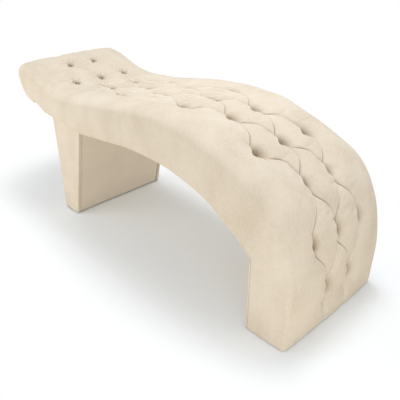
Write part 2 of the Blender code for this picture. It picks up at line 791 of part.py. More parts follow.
def make_mount_board(body, leg, group, material):
    """The thick board over the leg, which takes its bolts."""
    half = board_half()[1] - FIT_GAP
    middle = leg.seat_point(0.0, 0.0, body.margin + MOUNT_BOARD_THICKNESS / 2)
    angle = math.atan2(-leg.run[1], leg.run[0])
    size = (leg.length, 2 * half, MOUNT_BOARD_THICKNESS)
    return box("leg_mount_board", size, middle, angle, group, material)


def make_leg_bolts(body, leg, drilled, group, cutters, material):
    """Four bolts from inside the leg up into the mount board, and their holes."""
    head_top = -LEG_SEAT_GAP - LEG_PLATE_THICKNESS - FIT_GAP
    tip = body.margin + MOUNT_BOARD_THICKNESS
    profile = [
        (0.0, tip),
        (BOLT_RADIUS, tip),
        (BOLT_RADIUS, head_top),
        (BOLT_HEAD_RADIUS, head_top),
        (BOLT_HEAD_RADIUS, head_top - BOLT_HEAD_HEIGHT),
        (0.0, head_top - BOLT_HEAD_HEIGHT),
    ]
    places = [(x * BOLT_SPREAD_X / 2, y * BOLT_SPREAD_Y / 2) for x in (-1, 1) for y in (-1, 1)]
    turn = Matrix.Rotation(math.atan2(-leg.run[1], leg.run[0]), 4, "Y")
    holes = []
    for number, (x, y) in enumerate(places, 1):
        stand = Matrix.Translation(leg.seat_point(x, y, 0.0)) @ turn
        turned(f"leg_bolt_{number}", profile, stand, 12, group, material)
        holes.append(
            (leg.seat_point(x, y, head_top - CUT_OVERRUN), leg.seat_point(x, y, tip + CUT_OVERRUN))
        )
    drill(drilled, "bolt_hole_cutter", holes, BOLT_RADIUS + BOLT_CLEARANCE, 12, cutters, material)


def make_glides(body, leg, group, material):
    """Nail-on glides under the side boards of the foot and of the leg."""
    outer, inner = board_half()
    foot_from = body.under(body.last, 0.0, body.margin).x + GLIDE_EDGE_DISTANCE
    foot_to = body.place(body.last, 0.0, deck_depth()[1]).x - GLIDE_EDGE_DISTANCE
    leg_x = float(leg.floor[0][0] + crossing(leg.floor, leg.foot)[0]) / 2
    leg_y = leg.half - COVER_THICKNESS - FIT_GAP - LEG_BOARD_THICKNESS / 2
    places = [(x, side * (outer + inner) / 2) for x in (foot_from, foot_to) for side in (-1, 1)]
    places += [(leg_x, side * leg_y) for side in (-1, 1)]
    for number, (x, y) in enumerate(places, 1):
        bm = bmesh.new()
        add_cylinder(bm, GLIDE_RADIUS, Vector((x, y, 0.0)), Vector((x, y, FLOOR_CLEARANCE - FIT_GAP)), 16)
        bmesh_object(f"glide_{number}", bm, group, material, math.radians(40))


def main():
    """Builds the whole bed."""
    clear_scene()
    group = new_collection("beauty_bed")
    cutters = new_collection("cutters")
    velvet = new_material("cream velvet", VELVET_CREAM, 0.85)
    foam = new_material("foam", FOAM_YELLOW, 0.95)
    plywood = new_material("plywood", PLYWOOD, 0.6)
    softwood = new_material("softwood", SOFTWOOD, 0.65)
    hardboard = new_material("hardboard", HARDBOARD, 0.7)
    steel = new_material("zinc steel", STEEL, 0.35, 1.0)
    plastic = new_material("black plastic", GLIDE_BLACK, 0.5)

    body = Body()
    tufts = Tufts(body)
    leg = Leg(body)
    cover = make_cover(body, tufts, group, velvet)
    make_pad(body, tufts, group, foam)
    make_side_foams(body, group, foam)
    make_buttons(body, tufts, cover, group, velvet)
    cloth = make_underside_cover(body, group, velvet)
    make_side_boards(body, group, plywood)
    make_deck(body, tufts, group, cutters, plywood)
    make_rails(body, group, softwood)
    underside = make_under_panels(body, group, hardboard)
    make_base_board(body, group, plywood)
    plate = make_leg(leg, group, plywood, velvet)
    mount_board = make_mount_board(body, leg, group, plywood)
    make_leg_bolts(body, leg, [plate, cloth, underside, mount_board], group, cutters, steel)
    make_glides(body, leg, group, plastic)


main()
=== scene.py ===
import json
import math
import bpy
import numpy as np
from mathutils import Matrix, Vector


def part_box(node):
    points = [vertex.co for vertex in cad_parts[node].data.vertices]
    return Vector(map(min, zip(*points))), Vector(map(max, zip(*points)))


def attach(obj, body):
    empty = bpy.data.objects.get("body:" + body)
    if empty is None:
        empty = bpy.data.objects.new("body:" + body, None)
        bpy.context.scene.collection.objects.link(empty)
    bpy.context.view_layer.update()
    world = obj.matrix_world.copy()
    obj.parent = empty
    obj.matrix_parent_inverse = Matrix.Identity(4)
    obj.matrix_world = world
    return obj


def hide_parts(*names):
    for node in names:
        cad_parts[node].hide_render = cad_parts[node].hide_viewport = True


# Curved beauty bed in cream velvet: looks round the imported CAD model.
# Metres, +X to the foot, +Y across, +Z up, floor at z = 0.

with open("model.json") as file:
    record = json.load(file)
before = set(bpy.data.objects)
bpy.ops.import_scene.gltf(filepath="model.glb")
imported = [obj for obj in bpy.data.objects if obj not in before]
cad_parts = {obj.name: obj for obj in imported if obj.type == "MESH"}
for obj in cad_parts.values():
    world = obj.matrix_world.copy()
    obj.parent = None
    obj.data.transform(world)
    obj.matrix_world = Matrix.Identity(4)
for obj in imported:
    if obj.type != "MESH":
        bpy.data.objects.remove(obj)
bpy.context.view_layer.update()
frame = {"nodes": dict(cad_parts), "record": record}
print("frame loaded:", len(frame["nodes"]), "nodes")

bed = {
    "width": 0.60,
    "run": 1.808,  # length between the crowns
    "rise": 0.7287,  # from the floor gap to the crown's foot
    "floorGap": 0.0053,
    # places of the tuft rows, as shares of the outer line
    "tuftRows": [0.1184, 0.1903, 0.2692, 0.3477, 0.4278, 0.5193, 0.5977, 0.6831, 0.7586, 0.8447, 0.9340],
    "columnPitch": 0.143,
    "bendWeight": 0.10,    # how much closer the ribs lie where the line bends
    "depthEven": 0.035,    # directions through the bed's depth are evened out over this length
    "underEven": 0.004,    # and those square to the bottom line over this one
}

# side view, as shares of the run and of the rise: outer line from the lower head edge to the floor at the foot
outerShares = [
    (-0.4760, 0.800), (-0.4890, 0.862), (-0.4975, 0.922), (-0.5000, 0.957), (-0.4950, 0.986),
    (-0.4820, 1.000), (-0.4640, 0.999), (-0.4396, 0.989), (-0.3874, 0.953), (-0.3374, 0.917),
    (-0.2879, 0.899), (-0.2396, 0.901), (-0.1841, 0.912), (-0.1066, 0.937), (0.0000, 0.976),
    (0.0549, 0.991), (0.1099, 0.998), (0.1648, 0.993), (0.2198, 0.976), (0.2747, 0.941),
    (0.3297, 0.895), (0.3846, 0.836), (0.4240, 0.777), (0.4560, 0.693), (0.4780, 0.585),
    (0.4918, 0.473), (0.4984, 0.357), (0.5000, 0.240), (0.4990, 0.116), (0.4973, 0.000),
]
# bottom line under the arch, then down the inner face of the foot
archShares = [
    (-0.4150, 0.7725), (-0.3896, 0.752), (-0.3600, 0.7203), (-0.3380, 0.7153), (-0.2090, 0.6860),
    (-0.1890, 0.6815), (-0.1600, 0.688), (-0.1269, 0.697), (-0.0643, 0.714), (0.0000, 0.732),
    (0.0549, 0.736), (0.1099, 0.733), (0.1648, 0.719), (0.2198, 0.688), (0.2747, 0.644),
    (0.3253, 0.569), (0.3626, 0.513), (0.3960, 0.441),
]
innerFootShares = [(0.3945, 0.0)]
seatPoints = (3, 4)        # the leg's seat lies between these points of the bottom line
ribPlan = {"ribs": 30, "marks": (0, 7, 9, 12, 25, 30), "headFan": 0.030}
panelBays = ((0.682, 0.0015), (0.460, 0.0006))     # x and depth of straight bays under the bottom line
bayReach = 0.028


# Lines in the side view


def sideView(shares):
    points = np.array(shares, float)
    return np.stack([points[:, 0] * bed["run"], bed["floorGap"] + points[:, 1] * bed["rise"]], axis=1)


def smoothLine(points, steps=48):
    # cubic Hermite pieces; the slope at a point is the mean of the runs beside it, each weighted by the
    # other's length
    gaps = np.linalg.norm(np.diff(points, axis=0), axis=1)[:, None]
    chords = np.diff(points, axis=0) / gaps
    slopes = np.empty_like(points)
    slopes[1:-1] = (chords[1:] * gaps[:-1] + chords[:-1] * gaps[1:]) / (gaps[:-1] + gaps[1:])
    slopes[0] = 2 * chords[0] - slopes[1]
    slopes[-1] = 2 * chords[-1] - slopes[-2]
    t = np.linspace(0.0, 1.0, steps, endpoint=False)[None, :, None]
    a, b, g = points[:-1, None], points[1:, None], gaps[:, None]
    line = (a * (1 + 2 * t) * (1 - t) ** 2 + slopes[:-1, None] * g * t * (1 - t) ** 2
            + b * t ** 2 * (3 - 2 * t) + slopes[1:, None] * g * t ** 2 * (t - 1))
    return np.concatenate([line.reshape(-1, 2), points[-1:]])


def lengthsOf(line):
    return np.concatenate([[0.0], np.cumsum(np.linalg.norm(np.diff(line, axis=0), axis=1))])


def pointAt(line, distance):
    lengths = lengthsOf(line)
    return np.stack([np.interp(distance, lengths, line[:, k]) for k in (0, 1)], axis=-1)


def unit(v):
    return v / np.linalg.norm(v, axis=-1, keepdims=True)


def leftOf(v):
    return np.stack([-v[..., 1], v[..., 0]], axis=-1)


def smoothStep(x, low, high):
    t = np.clip((x - low) / (high - low), 0.0, 1.0)
    return t * t * (3 - 2 * t)


def between(x, rise, fall):
    # rises from 0 to 1 over the first pair of places and falls back over the second
    return smoothStep(x, *rise) * (1 - smoothStep(x, *fall))


def softened(values, distance, width):
    # running mean of each column with a Gaussian of this width, the ends held
    step = 0.004
    even = np.arange(distance[0], distance[-1] + step, step)
    reach = int(3 * width / step)
    kernel = np.exp(-0.5 * (np.arange(-reach, reach + 1) * step / width) ** 2)
    kernel /= kernel.sum()
    out = []
    for k in range(values.shape[1]):
        column = np.pad(np.interp(even, distance, values[:, k]), reach, mode="edge")
        out.append(np.interp(distance, even, np.convolve(column, kernel, mode="valid")))
    return np.stack(out, axis=-1)


outerLine = smoothLine(sideView(outerShares))
outerLength = lengthsOf(outerLine)[-1]
archLine = smoothLine(sideView(archShares))
bottomLine = np.concatenate([archLine, sideView(innerFootShares)])
bottomLength = lengthsOf(bottomLine)[-1]
tuftRows = outerLength * np.array(bed["tuftRows"])
rowPitch = float(np.mean(np.diff(tuftRows)))
halfColumn = bed["columnPitch"] / 2
halfWidth = bed["width"] / 2


def seatPlaces():
    arch = sideView(archShares)
    return [float(np.interp(arch[k][0], archLine[:, 0], lengthsOf(archLine))) for k in seatPoints]


def bottomAt(distance):
    # the point of the bottom line under each place of the outer line: ribs lie closer together where the
    # line bends
    lengths = lengthsOf(outerLine)
    runs = unit(np.diff(outerLine, axis=0))
    turns = np.abs(np.arcsin(np.clip(np.sum(leftOf(runs[:-1]) * runs[1:], axis=1), -1, 1)))
    bend = np.concatenate([[0.0], np.cumsum(turns), [np.sum(turns)]])
    measure = lengths / outerLength + bed["bendWeight"] * bend
    ribs = np.interp(distance, lengths, measure) / measure[-1] * ribPlan["ribs"]
    places = [0.0, ribPlan["headFan"], *seatPlaces(), lengthsOf(archLine)[-1], bottomLength]
    return pointAt(bottomLine, np.interp(ribs, ribPlan["marks"], places))


def downsAt(distance):
    # directions from the outer line through the bed to the bottom line
    return unit(softened(unit(bottomAt(distance) - pointAt(outerLine, distance)), distance, bed["depthEven"]))


def upsOf(line, distance):
    # directions square to a bottom line, into the bed
    return unit(softened(leftOf(unit(np.gradient(line, axis=0))), distance, bed["underEven"]))


def panelDrop(x):
    # how far the velvet goes down to cover the panel's bays: a sum of depth * exp(-((x - place) / reach)^2)
    return sum(depth * np.exp(-((x - place) / bayReach) ** 2) for place, depth in panelBays)


# Materials


def nodeTree(name):
    material = bpy.data.materials.new(name)
    material.use_nodes = True
    nodes = material.node_tree.nodes
    return material, nodes, nodes["Principled BSDF"]


def feed(node, inputs):
    # inputs by name or number: a socket is linked, anything else becomes the input's value
    for key, value in inputs.items():
        if isinstance(value, bpy.types.NodeSocket):
            node.id_data.links.new(value, node.inputs[key])
        else:
            node.inputs[key].default_value = value


def addNode(nodes, kind, inputs=None, out=0, **properties):
    # makes a node to the right of the last one and gives one of its outputs
    node = nodes.new("ShaderNode" + kind)
    node.location = (200 * len(nodes), 0)
    for key, value in properties.items():
        setattr(node, key, value)
    feed(node, inputs or {})
    return node.outputs[out]


def addNoise(nodes, vector, scale, detail, roughness, distortion=0.0):
    return addNode(nodes, "TexNoise", {"Vector": vector, "Scale": scale, "Detail": detail,
                                       "Roughness": roughness, "Distortion": distortion})


def addMath(nodes, operation, *values):
    return addNode(nodes, "Math", dict(enumerate(values)), operation=operation)


def addMix(nodes, factor, first, second, kind="RGBA"):
    return addNode(nodes, "Mix", {"Factor": factor, "A": first, "B": second}, "Result", data_type=kind)


def addBump(nodes, height, strength, distance):
    return addNode(nodes, "Bump", {"Height": height, "Strength": strength, "Distance": distance})


def colourRamp(nodes, factor, stops):
    ramp = addNode(nodes, "ValToRGB", {"Fac": factor})
    elements = ramp.node.color_ramp.elements
    while len(elements) < len(stops):
        elements.new(0.5)
    for element, (place, colour) in zip(elements, stops):
        element.position = place
        element.color = (*colour, 1.0)
    return ramp


velvetLook = {
    # from pile stroked away from the light to pile lifted to it
    "nap": ((0.29, (0.650, 0.562, 0.444)), (0.50, (0.730, 0.646, 0.526)), (0.71, (0.790, 0.711, 0.596))),
    "paintedFoldShade": (0.330, 0.245, 0.150),  # painted shade, deep in creases and tufts
    "paintedRidgeHighlight": (0.860, 0.800, 0.700),  # painted highlight on the ridge beside a fold
    "paintedHighlightShare": 0.55,
    "roughness": 0.88,
    "specular": 0.15,
    "sheen": 0.25,
    "sheenRoughness": 0.45,
    "sheenTint": (1.0, 0.95, 0.87),
    "napScale": 8.0,
    "napStretch": (1.0, 1.0, 0.6),
    "streakScale": 14,  # how much finer the streaks are than the patches
    "streakShare": 0.4,
    "pileScale": 900.0,
    "pileHeight": 0.0004,
    "pileStrength": 0.5,
}


def makeVelvet(name, look):
    # short pile: soft patches where the nap has been stroked, faint streaks along it, painted shade in folds
    # and tufts, a painted highlight on the ridges beside them, and fine pile as bump
    material, nodes, shader = nodeTree(name)
    place = addNode(nodes, "TexCoord", out="Object")
    nap = addNode(nodes, "Mapping", {"Vector": place, "Scale": look["napStretch"]})
    patches = addNoise(nodes, nap, look["napScale"], 2.5, 0.5)
    streaks = addNoise(nodes, nap, look["napScale"] * look["streakScale"], 4.0, 0.6)
    pile = addNoise(nodes, place, look["pileScale"], 2.0, 0.6)
    blend = addMix(nodes, look["streakShare"], patches, streaks, "FLOAT")
    paintedShading = addNode(nodes, "Attribute", out="Fac", attribute_name="paintedShading")
    # the painted shading attribute darkens the colour towards the painted fold shade
    shade = addMix(nodes, paintedShading, colourRamp(nodes, blend, look["nap"]), (*look["paintedFoldShade"], 1.0))
    # below 0 the painted shading mixes in the painted highlight
    paintedHighlight = addMath(nodes, "MULTIPLY", paintedShading, -look["paintedHighlightShare"])
    feed(shader, {
        "Base Color": addMix(nodes, paintedHighlight, shade, (*look["paintedRidgeHighlight"], 1.0)),
        "Normal": addBump(nodes, pile, look["pileStrength"], look["pileHeight"]),
        "Roughness": look["roughness"],
        "Sheen Weight": look["sheen"],
        "Sheen Roughness": look["sheenRoughness"],
        "Sheen Tint": (*look["sheenTint"], 1.0),
        "Specular IOR Level": look["specular"],
    })
    return material


woodLooks = {
    "plywood": {"light": (0.62, 0.45, 0.27), "dark": (0.43, 0.28, 0.15), "grain": (3.0, 26.0, 26.0),
                "roughness": 0.62, "plies": True},
    "softwood": {"light": (0.70, 0.53, 0.32), "dark": (0.50, 0.33, 0.17), "grain": (30.0, 2.2, 30.0),
                 "roughness": 0.65},
    "hardboard": {"light": (0.24, 0.13, 0.07), "dark": (0.15, 0.08, 0.04), "grain": (60.0, 60.0, 60.0),
                  "roughness": 0.7},
}
plyLook = {"scale": 55.0, "distortion": 0.4, "edgeWithin": 0.3, "darker": 0.55}


def makeWood(name, look):
    # grain: stretched noise with finer pores; plywood edges, where the normal has little of Y, show their
    # plies as stripes across Y
    material, nodes, shader = nodeTree(name)
    place = addNode(nodes, "TexCoord", out="Object")
    along = addNode(nodes, "Mapping", {"Vector": place, "Scale": look["grain"]})
    grain = addNoise(nodes, along, 1.0, 6.0, 0.65, 0.6)
    pores = addNoise(nodes, along, 9.0, 3.0, 0.7)
    both = addMix(nodes, 0.3, grain, pores, "FLOAT")
    colour = colourRamp(nodes, both, [(0.35, look["dark"]), (0.62, look["light"])])
    if "plies" in look:
        plies = addNode(nodes, "TexWave", {"Vector": place, "Scale": plyLook["scale"],
                                           "Distortion": plyLook["distortion"]}, "Fac", bands_direction="Y")
        normal = addNode(nodes, "NewGeometry", out="Normal")
        across = addNode(nodes, "SeparateXYZ", {"Vector": normal}, "Y")
        edge = addMath(nodes, "COMPARE", across, 0.0, plyLook["edgeWithin"])
        darker = (*[v * plyLook["darker"] for v in look["dark"]], 1.0)
        colour = addMix(nodes, addMath(nodes, "MULTIPLY", plies, edge), colour, darker)
    feed(shader, {"Base Color": colour, "Normal": addBump(nodes, both, 0.25, 0.0006),
                  "Roughness": look["roughness"]})
    return material


plainLooks = {
    "zincSteel": {"colours": ((0.50, 0.51, 0.54), (0.66, 0.67, 0.69)), "scale": 160.0,
                  "roughness": (0.28, 0.48), "metallic": 1.0, "bump": 0.0001},
    "blackPlastic": {"colours": ((0.018, 0.018, 0.019), (0.032, 0.032, 0.034)), "scale": 420.0,
                     "roughness": (0.45, 0.6), "metallic": 0.0, "bump": 0.0002},
    "foam": {"colours": ((0.72, 0.60, 0.34), (0.80, 0.69, 0.44)), "scale": 520.0,
             "roughness": (0.9, 1.0), "metallic": 0.0, "bump": 0.0008},
}


def makePlain(name, look):
    # even stuff with a fine grain: noise moves its colour, roughness and bump a little
    material, nodes, shader = nodeTree(name)
    noise = addNoise(nodes, addNode(nodes, "TexCoord", out="Object"), look["scale"], 4.0, 0.6)
    smooth, rough = look["roughness"]
    feed(shader, {
        "Base Color": colourRamp(nodes, noise, list(zip((0.35, 0.68), look["colours"]))),
        "Roughness": addNode(nodes, "MapRange", {"Value": noise, "To Min": smooth, "To Max": rough}),
        "Normal": addBump(nodes, noise, 0.4, look["bump"]),
        "Metallic": look["metallic"],
    })
    return material


velvet = makeVelvet("creamVelvet", velvetLook)
finishes = {
    "velvet": velvet,
    "foam": makePlain("seatFoam", plainLooks["foam"]),
    "plywood": makeWood("birchPlywood", woodLooks["plywood"]),
    "softwood": makeWood("sawnSoftwood", woodLooks["softwood"]),
    "hardboard": makeWood("hardboard", woodLooks["hardboard"]),
    "zinc_steel": makePlain("zincSteel", plainLooks["zincSteel"]),
    "black_plastic": makePlain("blackPlastic", plainLooks["blackPlastic"]),
}
for row in frame["record"]["subparts"]:
    node = frame["nodes"].get(row["node"])
    if node is not None:
        for slot in node.material_slots:
            slot.material = finishes[row["material_slot"]]
print("materials made")


# Meshes from grids


def gridFaces(rows, columns, closeRows=False, closeColumns=False):
    # quads of a grid whose points are numbered row by row
    r = np.arange(rows if closeRows else rows - 1)[:, None]
    c = np.arange(columns if closeColumns else columns - 1)[None, :]
    r2 = (r + 1) % rows
    c2 = (c + 1) % columns
    quads = np.stack([r * columns + c, r * columns + c2, r2 * columns + c2, r2 * columns + c], axis=-1)
    return quads.reshape(-1, 4)


def tubeFaces(rings):
    # quads of closed rings in a row and across the first and the last ring
    rows, columns = rings.shape[:2]
    k = np.arange(columns // 2 - 1)
    cap = np.stack([k, k + 1, columns - 2 - k, columns - 1 - k], axis=-1)
    side = gridFaces(rows, columns, closeColumns=True)
    return np.concatenate([side, cap[:, ::-1], cap + (rows - 1) * columns])


def addObject(name, data):
    item = bpy.data.objects.new(name, data)
    bpy.context.scene.collection.objects.link(item)
    return item


def meshFrom(name, points, quads, caps=(), paintedShading=None):
    # smooth velvet mesh from a grid of points, quads and end caps of any number of corners
    mesh = bpy.data.meshes.new(name)
    faces = quads.tolist() + [cap.tolist() for cap in caps]
    mesh.from_pydata(points.reshape(-1, 3).tolist(), [], faces, shade_flat=False)
    mesh.validate()
    if paintedShading is not None:
        # painted shading: painted shade above 0, a painted highlight below 0
        layer = mesh.attributes.new("paintedShading", "FLOAT", "POINT")
        layer.data.foreach_set("value", np.ravel(paintedShading).astype(np.float32))
    mesh.materials.append(velvet)
    piece = addObject(name, mesh)
    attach(piece, "root")
    return piece


def planePoints(y, plane):
    # points from places across the bed and (x, z) pairs
    return np.stack([plane[..., 0], np.broadcast_to(y, plane.shape[:-1]), plane[..., 1]], axis=-1)


def waves(a, b, terms):
    # smooth unevenness: a sum of sines along and across, each (cycles along, cycles across, start, height)
    return sum(h * np.sin(2 * np.pi * (p * a + q * b) + start) for p, q, start, h in terms)


# Tufts and creases


# row by row: depth of the tuft, half lengths of its core and of its funnel, their widths to the far side,
# and how far its rim bulges to the near side as a share of half a column pitch
tuftSizes = np.array([
    (0.040, 0.013, 0.024, 0.012, 0.020, 0.08),
    (0.040, 0.014, 0.028, 0.012, 0.022, 0.09),
    (0.038, 0.012, 0.030, 0.010, 0.022, 0.09),
    (0.037, 0.013, 0.034, 0.011, 0.024, 0.10),
    (0.038, 0.018, 0.044, 0.014, 0.034, 0.13),
    (0.041, 0.026, 0.054, 0.018, 0.042, 0.18),
    (0.043, 0.034, 0.068, 0.023, 0.054, 0.23),
    (0.044, 0.036, 0.074, 0.025, 0.060, 0.25),
    (0.042, 0.028, 0.062, 0.018, 0.044, 0.17),
    (0.041, 0.026, 0.056, 0.018, 0.046, 0.12),
    (0.042, 0.030, 0.060, 0.026, 0.060, 0.10),
])
# row by row: how dark the painted shade of a tuft gets and at which share of its pull, then the reach, depth
# and painted darkness of the pleats round it
tuftShades = (3 * [(1.0, 0.50, 0.040, 0.0048, 0.50)] + 2 * [(0.85, 0.85, 0.034, 0.0036, 0.55)]
              + 2 * [(0.85, 0.85, 0.034, 0.0016, 0.2)] + [(0.85, 0.85, 0, 0, 0), (0.75, 0.95, 0, 0, 0)]
              + 2 * [(0.85, 0.70, 0, 0, 0)])
tuft = {
    "shorter": (0.9, 1.2),  # its funnel is drawn out to the head and pressed together to the foot
    "powers": (1.5, 1.4),  # of the core and of the funnel
    "foldFrom": 0.22,  # the painted shade starts at this share of the full one
    "paintedHighlight": (0.004, 0.003),  # the painted highlight past the near rim: how far off and how wide
}
star = {"rays": 7, "uneven": 0.3, "width": 0.0038, "start": 0.010}
crease = {
    "pinch": 0.05,  # how near it comes to a tuft's column, as a share of half a column pitch
    "nearRim": 0.10,  # how far the first column's rim lies from it, in the same share
    "dipReach": (0.40, 0.29),  # lengths of its dip before and past a tuft, in rows
    "dipPower": (2.6, 3),
    "headLonger": 0.5,  # the dips are longer by this at the head, down to these rows
    "headRows": (3.6, 5.6),
    "bendLonger": (0.12, 0.5),  # and by this below the bend, between these rows
    "bendRows": ((7.7, 8.2), (9.4, 10.0)),
    "bulgeReach": 0.026,  # the rim bulges to the near side over this length
    "valleys": ((0.0080, 0.017), (0.0046, 0.0026)),  # depth and reach: wide, and sharp at its bottom
    "pleat": (0.0024, 0.0012, 0.010),  # the near side stands higher: height, step, reach
    "headRidge": (0.0026, 0.007, 0.005),  # ridge beside it in the head half: height, place, width
    "dark": (0.0030, 0.0040),  # half width of its painted shade, and what the valley rows add
    "paintedLightBand": (0.006, 0.004),  # place and half width of its painted highlight band, both doubled in the valley rows
    "tuftReach": 0.62,  # the creases fade out at a tuft over this share of its funnel
    "valleyRows": ((1.2, 2.2), (4.6, 5.8)),
    # rows from and to, strength before and after
    "strength": ((-0.45, 0.05, 0, 1), (0.6, 1.8, 0.35, 1), (8.0, 9.0, 1, 1.4), (10.15, 10.6, 1, 0.1)),
}
gather = {
    "rows": ((0.9, 1.7), (4.3, 5.4)),
    "edge": (0.13, 0.20),       # they fade out over these places across
    "pitch": 0.031,
    "drift": 11.0,
    "swings": ((17.0, 23.0, 0.5), (41.0, -13.0, 0.35)),    # turns along and across, height
    "height": 0.0015,
    # painted shade in the gathers' hollows and a painted highlight on their crests
    "shade": 0.35,
    "light": 0.6,
}


# columns -1 and 1 in the first row, -2, 0 and 2 in the next, and so on
tufts = [(row, column) for row in range(len(tuftRows)) for column in range(-2, 3) if (row + column) % 2]


def rowNumber(distance):
    # counts evenly from row to row, and at the mean pitch before the first and past the last
    within = np.clip(distance, tuftRows[0], tuftRows[-1])
    return np.interp(within, tuftRows, np.arange(len(tuftRows))) + (distance - within) / rowPitch


def besideTufts(distance, column, reach, power, heights=1.0):
    # sum over this column's tufts of height * exp(-(|s - row| / reach) ^ power)
    rows = [row for row, middle in tufts if middle == column]
    away = np.abs(distance[:, None] - tuftRows[rows]) / np.broadcast_to(reach, len(tuftRows))[rows]
    return (np.broadcast_to(heights, len(tuftRows))[rows] * np.exp(-away ** power)).sum(axis=1)


def rimBulge(distance, column):
    return besideTufts(distance, column, crease["bulgeReach"], 2, tuftSizes[:, 5])


def creaseShare(distance, column):
    # where the crease runs between this tuft column and the next: near the next, but for a dip to each tuft of
    # this one, exp(-(rows past it / foot reach)^3) + exp(-(rows before it / head reach)^2.6), and less the
    # bulge at the next column's tufts
    place = np.minimum(rowNumber(distance), len(tuftRows) - 1)
    longer = 1 + crease["headLonger"] - crease["headLonger"] * smoothStep(place, *crease["headRows"])
    bend = between(place, *crease["bendRows"])
    headReach, footReach = [reach * (longer + more * bend)
                            for reach, more in zip(crease["dipReach"], crease["bendLonger"])]
    ahead = np.mod(place - (1 - column % 2), 2)
    headPower, footPower = crease["dipPower"]
    dip = np.exp(-(ahead / footReach) ** footPower) + np.exp(-((2 - ahead) / headReach) ** headPower)
    share = 1 - crease["pinch"] - (1 - 2 * crease["pinch"]) * np.minimum(dip, 1.0)
    return share - rimBulge(distance, column + 1)


def rimAway(distance, column):
    # how far the rim of this column's tufts lies from it on the near side
    if column == -2:
        return (crease["nearRim"] + rimBulge(distance, column)) * halfColumn
    return (1 - creaseShare(distance, column - 1)) * halfColumn


def tuftShare(u, v, row, rim):
    # how far a tuft pulls the cloth down: half a steep core, half a wide funnel, each exp(-(distance in its
    # half lengths) ^ power). To the near side it is cut off at the rim by exp(-(v / rim)^4)
    coreLong, longHalf, coreWide, farWide = tuftSizes[row][1:5]
    u = np.where(u > 0, tuft["shorter"][1] * u, tuft["shorter"][0] * u)
    far = np.maximum(v, 0.0)
    near = np.exp(-(np.maximum(-v, 0.0) / rim) ** 4)
    inner = np.exp(-np.hypot(u / coreLong, far / coreWide) ** tuft["powers"][0]) * near
    outer = np.exp(-np.hypot(u / longHalf, far / farWide) ** tuft["powers"][1]) * near
    return 0.5 * inner + 0.5 * outer, outer


def starPleats(u, v, index, reach):
    # narrow valleys that radiate unevenly from a tuft: exp(-(distance from the ray / width)^2), fading with
    # exp(-(r / reach)^2)
    r = np.hypot(u, v)
    rays = np.zeros_like(r)
    for k in range(star["rays"]):
        angle = 2 * np.pi * (k + star["uneven"] * np.sin(7.3 * k + 2.1 * index)) / star["rays"] + index
        ahead = u * np.cos(angle) + v * np.sin(angle)
        off = v * np.cos(angle) - u * np.sin(angle)
        rays = np.maximum(rays, np.exp(-(off / star["width"]) ** 2) * smoothStep(ahead, 0.0, star["start"]))
    return rays * np.exp(-(r / reach) ** 2)


def pullTufts(distance, s, y):
    # height, painted shade, painted highlight past the near rim and pull of all the tufts, with their pleats
    relief, paintedShading, lift, pulled = np.zeros((4, *y.shape))
    paintedHighlightOff, ridgeWide = tuft["paintedHighlight"]
    for index, (row, column) in enumerate(tufts, 1):
        shade, deepest, reach, pleatDepth, pleatShade = tuftShades[row]
        u = s - tuftRows[row]
        v = y - column * halfColumn
        rim = rimAway(distance, column)[:, None]
        share, funnel = tuftShare(u, v, row, rim)
        relief -= tuftSizes[row][0] * share
        pulled = np.maximum(pulled, funnel)
        # painted shade deepening into the tuft
        paintedShading = np.maximum(paintedShading, shade * smoothStep(share, tuft["foldFrom"] * deepest, deepest))
        # a painted highlight just past the near rim
        paintedHighlight = np.exp(-((v + rim + paintedHighlightOff) / ridgeWide) ** 2 - (u / tuftSizes[row][2]) ** 4)
        lift = np.maximum(lift, paintedHighlight)
        if pleatDepth:
            pleats = starPleats(u, v, index, reach)
            relief -= pleatDepth * pleats
            # painted shade along the star pleats
            paintedShading = np.maximum(paintedShading, pleatShade * pleats)
    return relief, paintedShading, lift, pulled


def bell(away, width):
    return np.exp(-(away / width) ** 2)


